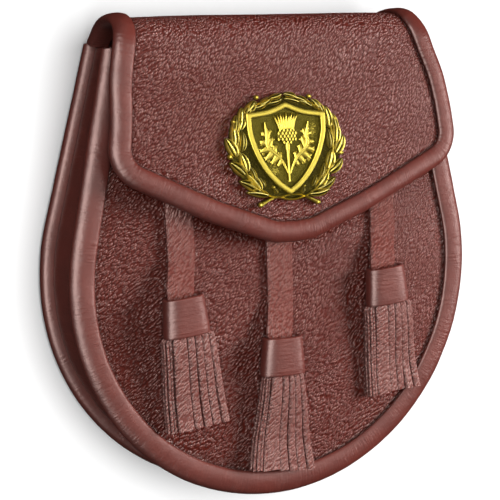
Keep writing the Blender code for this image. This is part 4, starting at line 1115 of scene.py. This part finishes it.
def cast_plate(badge):
    """The thin plate behind the wreath, with a rounded edge, and the post and rivet that hold it."""
    turns = np.linspace(0.0, 2 * math.pi, 96, endpoint=False)
    keys = ((0.02, 0.0), (0.97, 0.0), (1.0, 0.25), (1.0, BASE_THICKNESS - 0.4), (0.985, BASE_THICKNESS - 0.08),
            (0.96, BASE_THICKNESS), (0.8, BASE_THICKNESS), (0.4, BASE_THICKNESS), (0.02, BASE_THICKNESS))
    rows = []
    for turn in turns:
        reach = BASE_PLATE[1] if math.sin(turn) < 0 else BASE_PLATE[2]
        rows.append([(share * BASE_PLATE[0] * math.cos(turn), share * reach * math.sin(turn), height)
                     for share, height in keys])
    badge.add_tube(np.array(rows), -0.25)
    through = PANEL_LEATHER + 2 * CLEAR
    post = ((0.02, -through - 1.0), (3.6, -through - 1.0), (4.0, -through - 0.7), (4.0, -through - 0.2),
            (3.6, -through), (1.8, -through), (1.8, 0.7), (0.02, 0.7))
    rows = [[(radius * math.cos(turn), radius * math.sin(turn), height) for radius, height in post]
            for turn in turns[::3]]
    badge.add_tube(np.array(rows), 0.7)


def cast_thistle(badge):
    """The thistle: a scaled bulb under a spiky flower, on a stem between two ragged leaves."""
    foot = SHIELD_FIELD - 0.2
    stem = curve_through(((-0.1, -12.8), (-0.1, -8.0), (0.0, -2.0), (0.0, 2.6)), 20)
    share = np.linspace(0.0, 1.0, 20)
    halves = 0.6 + 0.45 * share + 0.45 * np.exp(-((share - 0.86) / 0.07) ** 2) + 0.2 * (share < 0.05)
    badge.blade(stem, halves, foot, THISTLE_TOP + 0.1)
    badge.dome((-0.1, -12.7), (0.8, 0.6), foot, THISTLE_TOP)
    for side in (1.0, -1.0):
        mirror = np.array((side, 1.0))
        spine = curve_through(THISTLE_SPINE, 30)
        halves = np.interp(np.linspace(0, 1, 30), (0.0, 0.25, 0.6, 0.85, 1.0), (0.35, 0.7, 1.0, 0.8, 0.2))
        badge.blade(spine * mirror, halves, foot, THISTLE_TOP - 0.05, LOBE_SECTION)
        for x, y, tip_x, tip_y, width in THISTLE_LOBES:
            root, tip = np.array((x, y)) * mirror, np.array((tip_x, tip_y)) * mirror
            badge.spike(root, tip, width * 1.75, foot, THISTLE_TOP - 0.15)
            middle = root * 0.38 + tip * 0.62
            ahead = (tip - root) / 2
            for turn in (1.0, -0.7):
                c, s = math.cos(turn), math.sin(turn)
                barb = np.array((ahead[0] * c - ahead[1] * s, ahead[0] * s + ahead[1] * c)) * 0.85
                badge.spike(middle - barb * 0.3, middle + barb, width, foot, THISTLE_TOP - 0.3)
    for k, tip in enumerate(TUFT_TIPS):
        spread = 2 * k / (len(TUFT_TIPS) - 1) - 1
        bow = np.array((0.35 * spread, 0.0))
        root = np.array((2.7 * spread, 7.0))
        path = curve_through((root, (root + np.array(tip)) / 2 - bow, tip), 14)
        halves = np.interp(np.linspace(0, 1, 14), (0.0, 0.55, 1.0), (0.85, 0.75, 0.1))
        badge.blade(path, halves, foot, THISTLE_TOP + 0.15 - 0.25 * abs(spread))
    (centre_x, centre_y), (half_width, half_height), rise = BULB
    top = SHIELD_FIELD + rise
    badge.dome((centre_x, centre_y), (half_width, half_height), foot, top, polish=0.15, sides=40)
    for row, y in enumerate(np.arange(2.3, 7.9, 1.15)):
        up = (y - centre_y) / half_height
        reach = half_width * math.sqrt(max(1 - up * up, 0.0))
        shift = 0.75 if row % 2 else 0.0
        for x in np.arange(-4.5 + shift, 4.6, 1.5):
            if abs(x) > reach * 0.96:
                continue
            curve = max(1 - (x / half_width) ** 2 - up * up, 0.0)
            surface = SHIELD_FIELD + rise * (0.25 + 0.75 * math.sqrt(curve))
            root, tip = np.array((x, y - 0.74)), np.array((x * 1.02, y + 0.74))
            path = root + np.outer(np.linspace(0, 1, 6), tip - root)
            halves = np.array((0.3, 0.6, 0.68, 0.6, 0.35, 0.1))
            badge.blade(path, halves, surface - 0.5, surface + 0.22)


def cast_wreath(badge):
    """Two laurel branches, crossed at the bottom, with pointed leaves and buds."""
    for side, lift in ((1.0, 0.0), (-1.0, 0.12)):
        mirror = np.array((side, 1.0))
        stem = curve_through(LAUREL_STEM, 90) * mirror
        stem[:, 1] -= (0.4 + 0.9 * side) * np.exp(-(stem[:, 0] / 5.0) ** 2) * (stem[:, 1] < 0.0)
        halves = np.interp(np.arange(90), (0, 8, 30, 89), (0.9, 0.55, 0.5, 0.3))
        badge.blade(stem, halves, 0.3, 2.25 + lift)
        for k, (x, y, tip_x, tip_y, width) in enumerate(LAUREL):
            base, tip = np.array((x, y)) * mirror, np.array((tip_x, tip_y)) * mirror
            badge.leaf(base, tip, width * LAUREL_FULLNESS, 0.3, 2.72 - 0.16 * (k % 3) + lift / 2)
        for x, y, radius in BUDS:
            badge.dome((x * side, y), (radius, radius), 0.5, 2.5 + lift)


def make_badge():
    """The cast badge as one object: plate, wreath, shield and thistle."""
    badge = Casting()
    cast_plate(badge)
    cast_wreath(badge)
    cast_shield(badge)
    cast_thistle(badge)
    badge.build("badge_cast", GOLD, "antique_brass", ["badge"], sharp=70.0, value_name="relief")


# ---------------------------------------------------------------- hidden pieces

def make_clasp():
    """The snap fastener under the flap: a turned stud between two flanges."""
    low, high = (corner.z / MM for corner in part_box("clasp_stud"))
    middle = (low + high) / 2
    profile = ((0.05, low), (5.7, low), (6.0, low + 0.3), (5.8, low + 0.7), (4.4, low + 1.0), (4.0, middle),
               (4.4, high - 1.0), (5.8, high - 0.7), (6.0, high - 0.3), (5.7, high), (0.05, high))
    turns = np.linspace(0.0, 2 * math.pi, 48, endpoint=False)
    rows = [[(radius * math.cos(turn), CLASP_Y + radius * math.sin(turn), height) for radius, height in profile]
            for turn in turns]
    shape = Shape()
    shape.add_tube(np.array(rows), 0.9)
    shape.build("clasp_turned", GOLD, "antique_brass", ["clasp_stud"], value_name="relief")


def make_belt_loops():
    """Two strips on the back, sewn down at both ends, with two lines of stitches across each foot."""
    low, high = LOOP_Y
    rise = LOOP_FOOT + LOOP_RAMP
    keys = ((low, LOOP_FOOT_Z), (low + LOOP_FOOT, LOOP_FOOT_Z), (low + rise, LOOP_FLAT_Z),
            (high - rise, LOOP_FLAT_Z), (high - LOOP_FOOT, LOOP_FOOT_Z), (high, LOOP_FOOT_Z))
    y = np.linspace(low, high, 80)
    z = np.interp(y, [key[0] for key in keys], [key[1] for key in keys])
    z = np.convolve(np.pad(z, 2, mode="edge"), np.ones(5) / 5, mode="valid")
    for name, x in (("belt_loop_left", -LOOP_X), ("belt_loop_right", LOOP_X)):
        middles = np.column_stack((np.full_like(y, x), y, z))
        shape = Shape()
        shape.add_tube(strip_tube(middles, np.full(len(y), LOOP_WIDTH / 2), LOOP_LEATHER, crown=0.0))
        for foot in (low + 2.0, low + 4.6, high - 2.0, high - 4.6):
            for dx in np.arange(-LOOP_WIDTH / 2 + 2.0, LOOP_WIDTH / 2 - 1.0, 2.4):
                face = LOOP_FOOT_Z - LOOP_LEATHER / 2
                thread = ((x + dx - 0.8, foot, face + 0.1), (x + dx - 0.5, foot, face - 0.16),
                          (x + dx + 0.5, foot, face - 0.16), (x + dx + 0.8, foot, face + 0.1))
                add_thread(shape, np.array(thread), 0.24)
        shape.build(name + "_sewn", SMOOTH, "smooth_leather", [name])


# ---------------------------------------------------------------- stage, lights and camera

CAMERA_PLACE = Vector((-0.3106, 0.0937, 0.5743))
CAMERA_RIGHT = Vector((0.8736, -0.0345, 0.4852))
CAMERA_UP = Vector((0.1000, 0.9889, -0.1097))
CAMERA_FORWARD = Vector((0.4761, -0.1444, -0.8675))
CAMERA_LENS = 115.2

# Direction is from the pouch, group is what is lit, and soft light and reflections are given apart. No two
# lights share a place, because the renderer can't tell such lights apart.
Light = namedtuple("Light", "name direction distance size power group soft mirrored")
LIGHTS = (
    ("key_light", (0.86, 0.06, 0.50), 1.30, (0.42, 0.42), 24.0, "pouch", True, False),
    ("key_glint", (0.86, 0.16, 0.50), 1.12, (0.42, 0.42), 17.0, "grain", False, True),
    ("key_edge", (0.86, -0.04, 0.50), 1.50, (0.42, 0.42), 9.0, "other", False, True),
    ("grain_box", (-0.46, 0.32, 0.83), 1.00, (0.40, 0.30), 10.0, "grain", False, True),
    ("front_box", (0.42, 0.00, 0.88), 1.4, (0.55, 0.55), 3.5, "other", False, True),
    ("left_box", (-0.58, 0.00, 0.81), 1.2, (1.50, 0.70), 30.0, "other", False, True),
    ("badge_box", (-0.45, 0.45, 0.77), 1.1, (1.00, 1.00), 9.0, "badge", False, True),
    ("fill_light", (-0.50, 0.15, 0.85), 1.3, (1.00, 1.00), 9.0, "pouch", True, False),
    ("back_light", (0.10, 0.93, 0.36), 1.3, (1.00, 1.00), 7.0, "pouch", True, False),
    ("floor_light", (0.0, 0.1, 1.0), 2.2, (2.40, 2.40), 95.0, "floor", True, True),
)


def add_light(light, group):
    """A soft box that looks at the pouch and lights one group of objects."""
    data = bpy.data.lights.new(light.name, "AREA")
    data.shape = "RECTANGLE"
    data.size, data.size_y = light.size
    data.energy = light.power
    obj = bpy.data.objects.new(light.name, data)
    place = Vector(light.direction).normalized() * light.distance
    obj.location = place
    obj.rotation_euler = (-place).to_track_quat("-Z", "Y").to_euler()
    obj.visible_diffuse = light.soft
    obj.visible_glossy = light.mirrored
    bpy.context.scene.collection.objects.link(obj)
    obj.light_linking.receiver_collection = group


def make_stage():
    """A pale floor, soft lights and the camera."""
    bpy.ops.mesh.primitive_plane_add(size=6.0, location=(0.0, 0.0, -0.0002))
    floor = bpy.context.object
    floor.name = "floor"
    floor.data.materials.append(floor_material("pale_floor"))
    floor.visible_diffuse = False    # the pale floor throws no light up at the pouch
    floor.visible_glossy = False
    names = ("pouch", "grain", "other", "badge", "floor")
    groups = {name: bpy.data.collections.new("lit_" + name) for name in names}
    for obj in bpy.context.scene.objects:
        if obj.type == "MESH" and obj != floor:
            groups["pouch"].objects.link(obj)
            if obj.active_material == GOLD:
                groups["badge"].objects.link(obj)
            fringe = obj.name.startswith("tassel_fringe")
            if fringe or obj.active_material == GRAIN:
                groups["grain"].objects.link(obj)
            if fringe or obj.active_material != GRAIN:
                groups["other"].objects.link(obj)
    groups["floor"].objects.link(floor)
    for light in (Light(*row) for row in LIGHTS):
        add_light(light, groups[light.group])
    world = bpy.data.worlds.new("studio")
    bpy.context.scene.world = world
    world.use_nodes = True
    world.node_tree.nodes["Background"].inputs["Color"].default_value = (1.0, 0.97, 0.95, 1.0)
    world.node_tree.nodes["Background"].inputs["Strength"].default_value = 0.012
    camera_data = bpy.data.cameras.new("camera")
    camera_data.lens = CAMERA_LENS
    camera_data.sensor_width = 36.0
    camera = bpy.data.objects.new("camera", camera_data)
    turn = Matrix((CAMERA_RIGHT, CAMERA_UP, -CAMERA_FORWARD)).transposed().to_4x4()
    camera.matrix_world = Matrix.Translation(CAMERA_PLACE) @ turn
    bpy.context.scene.collection.objects.link(camera)
    bpy.context.scene.camera = camera
    bpy.context.scene.view_settings.view_transform = "Standard"


def main():
    make_panels()
    make_gusset()
    make_pouch_bindings()
    make_flap()
    make_flap_binding()
    make_stitches()
    make_straps()
    make_heads()
    make_fringes()
    make_badge()
    make_clasp()
    make_belt_loops()
    make_stage()


main()
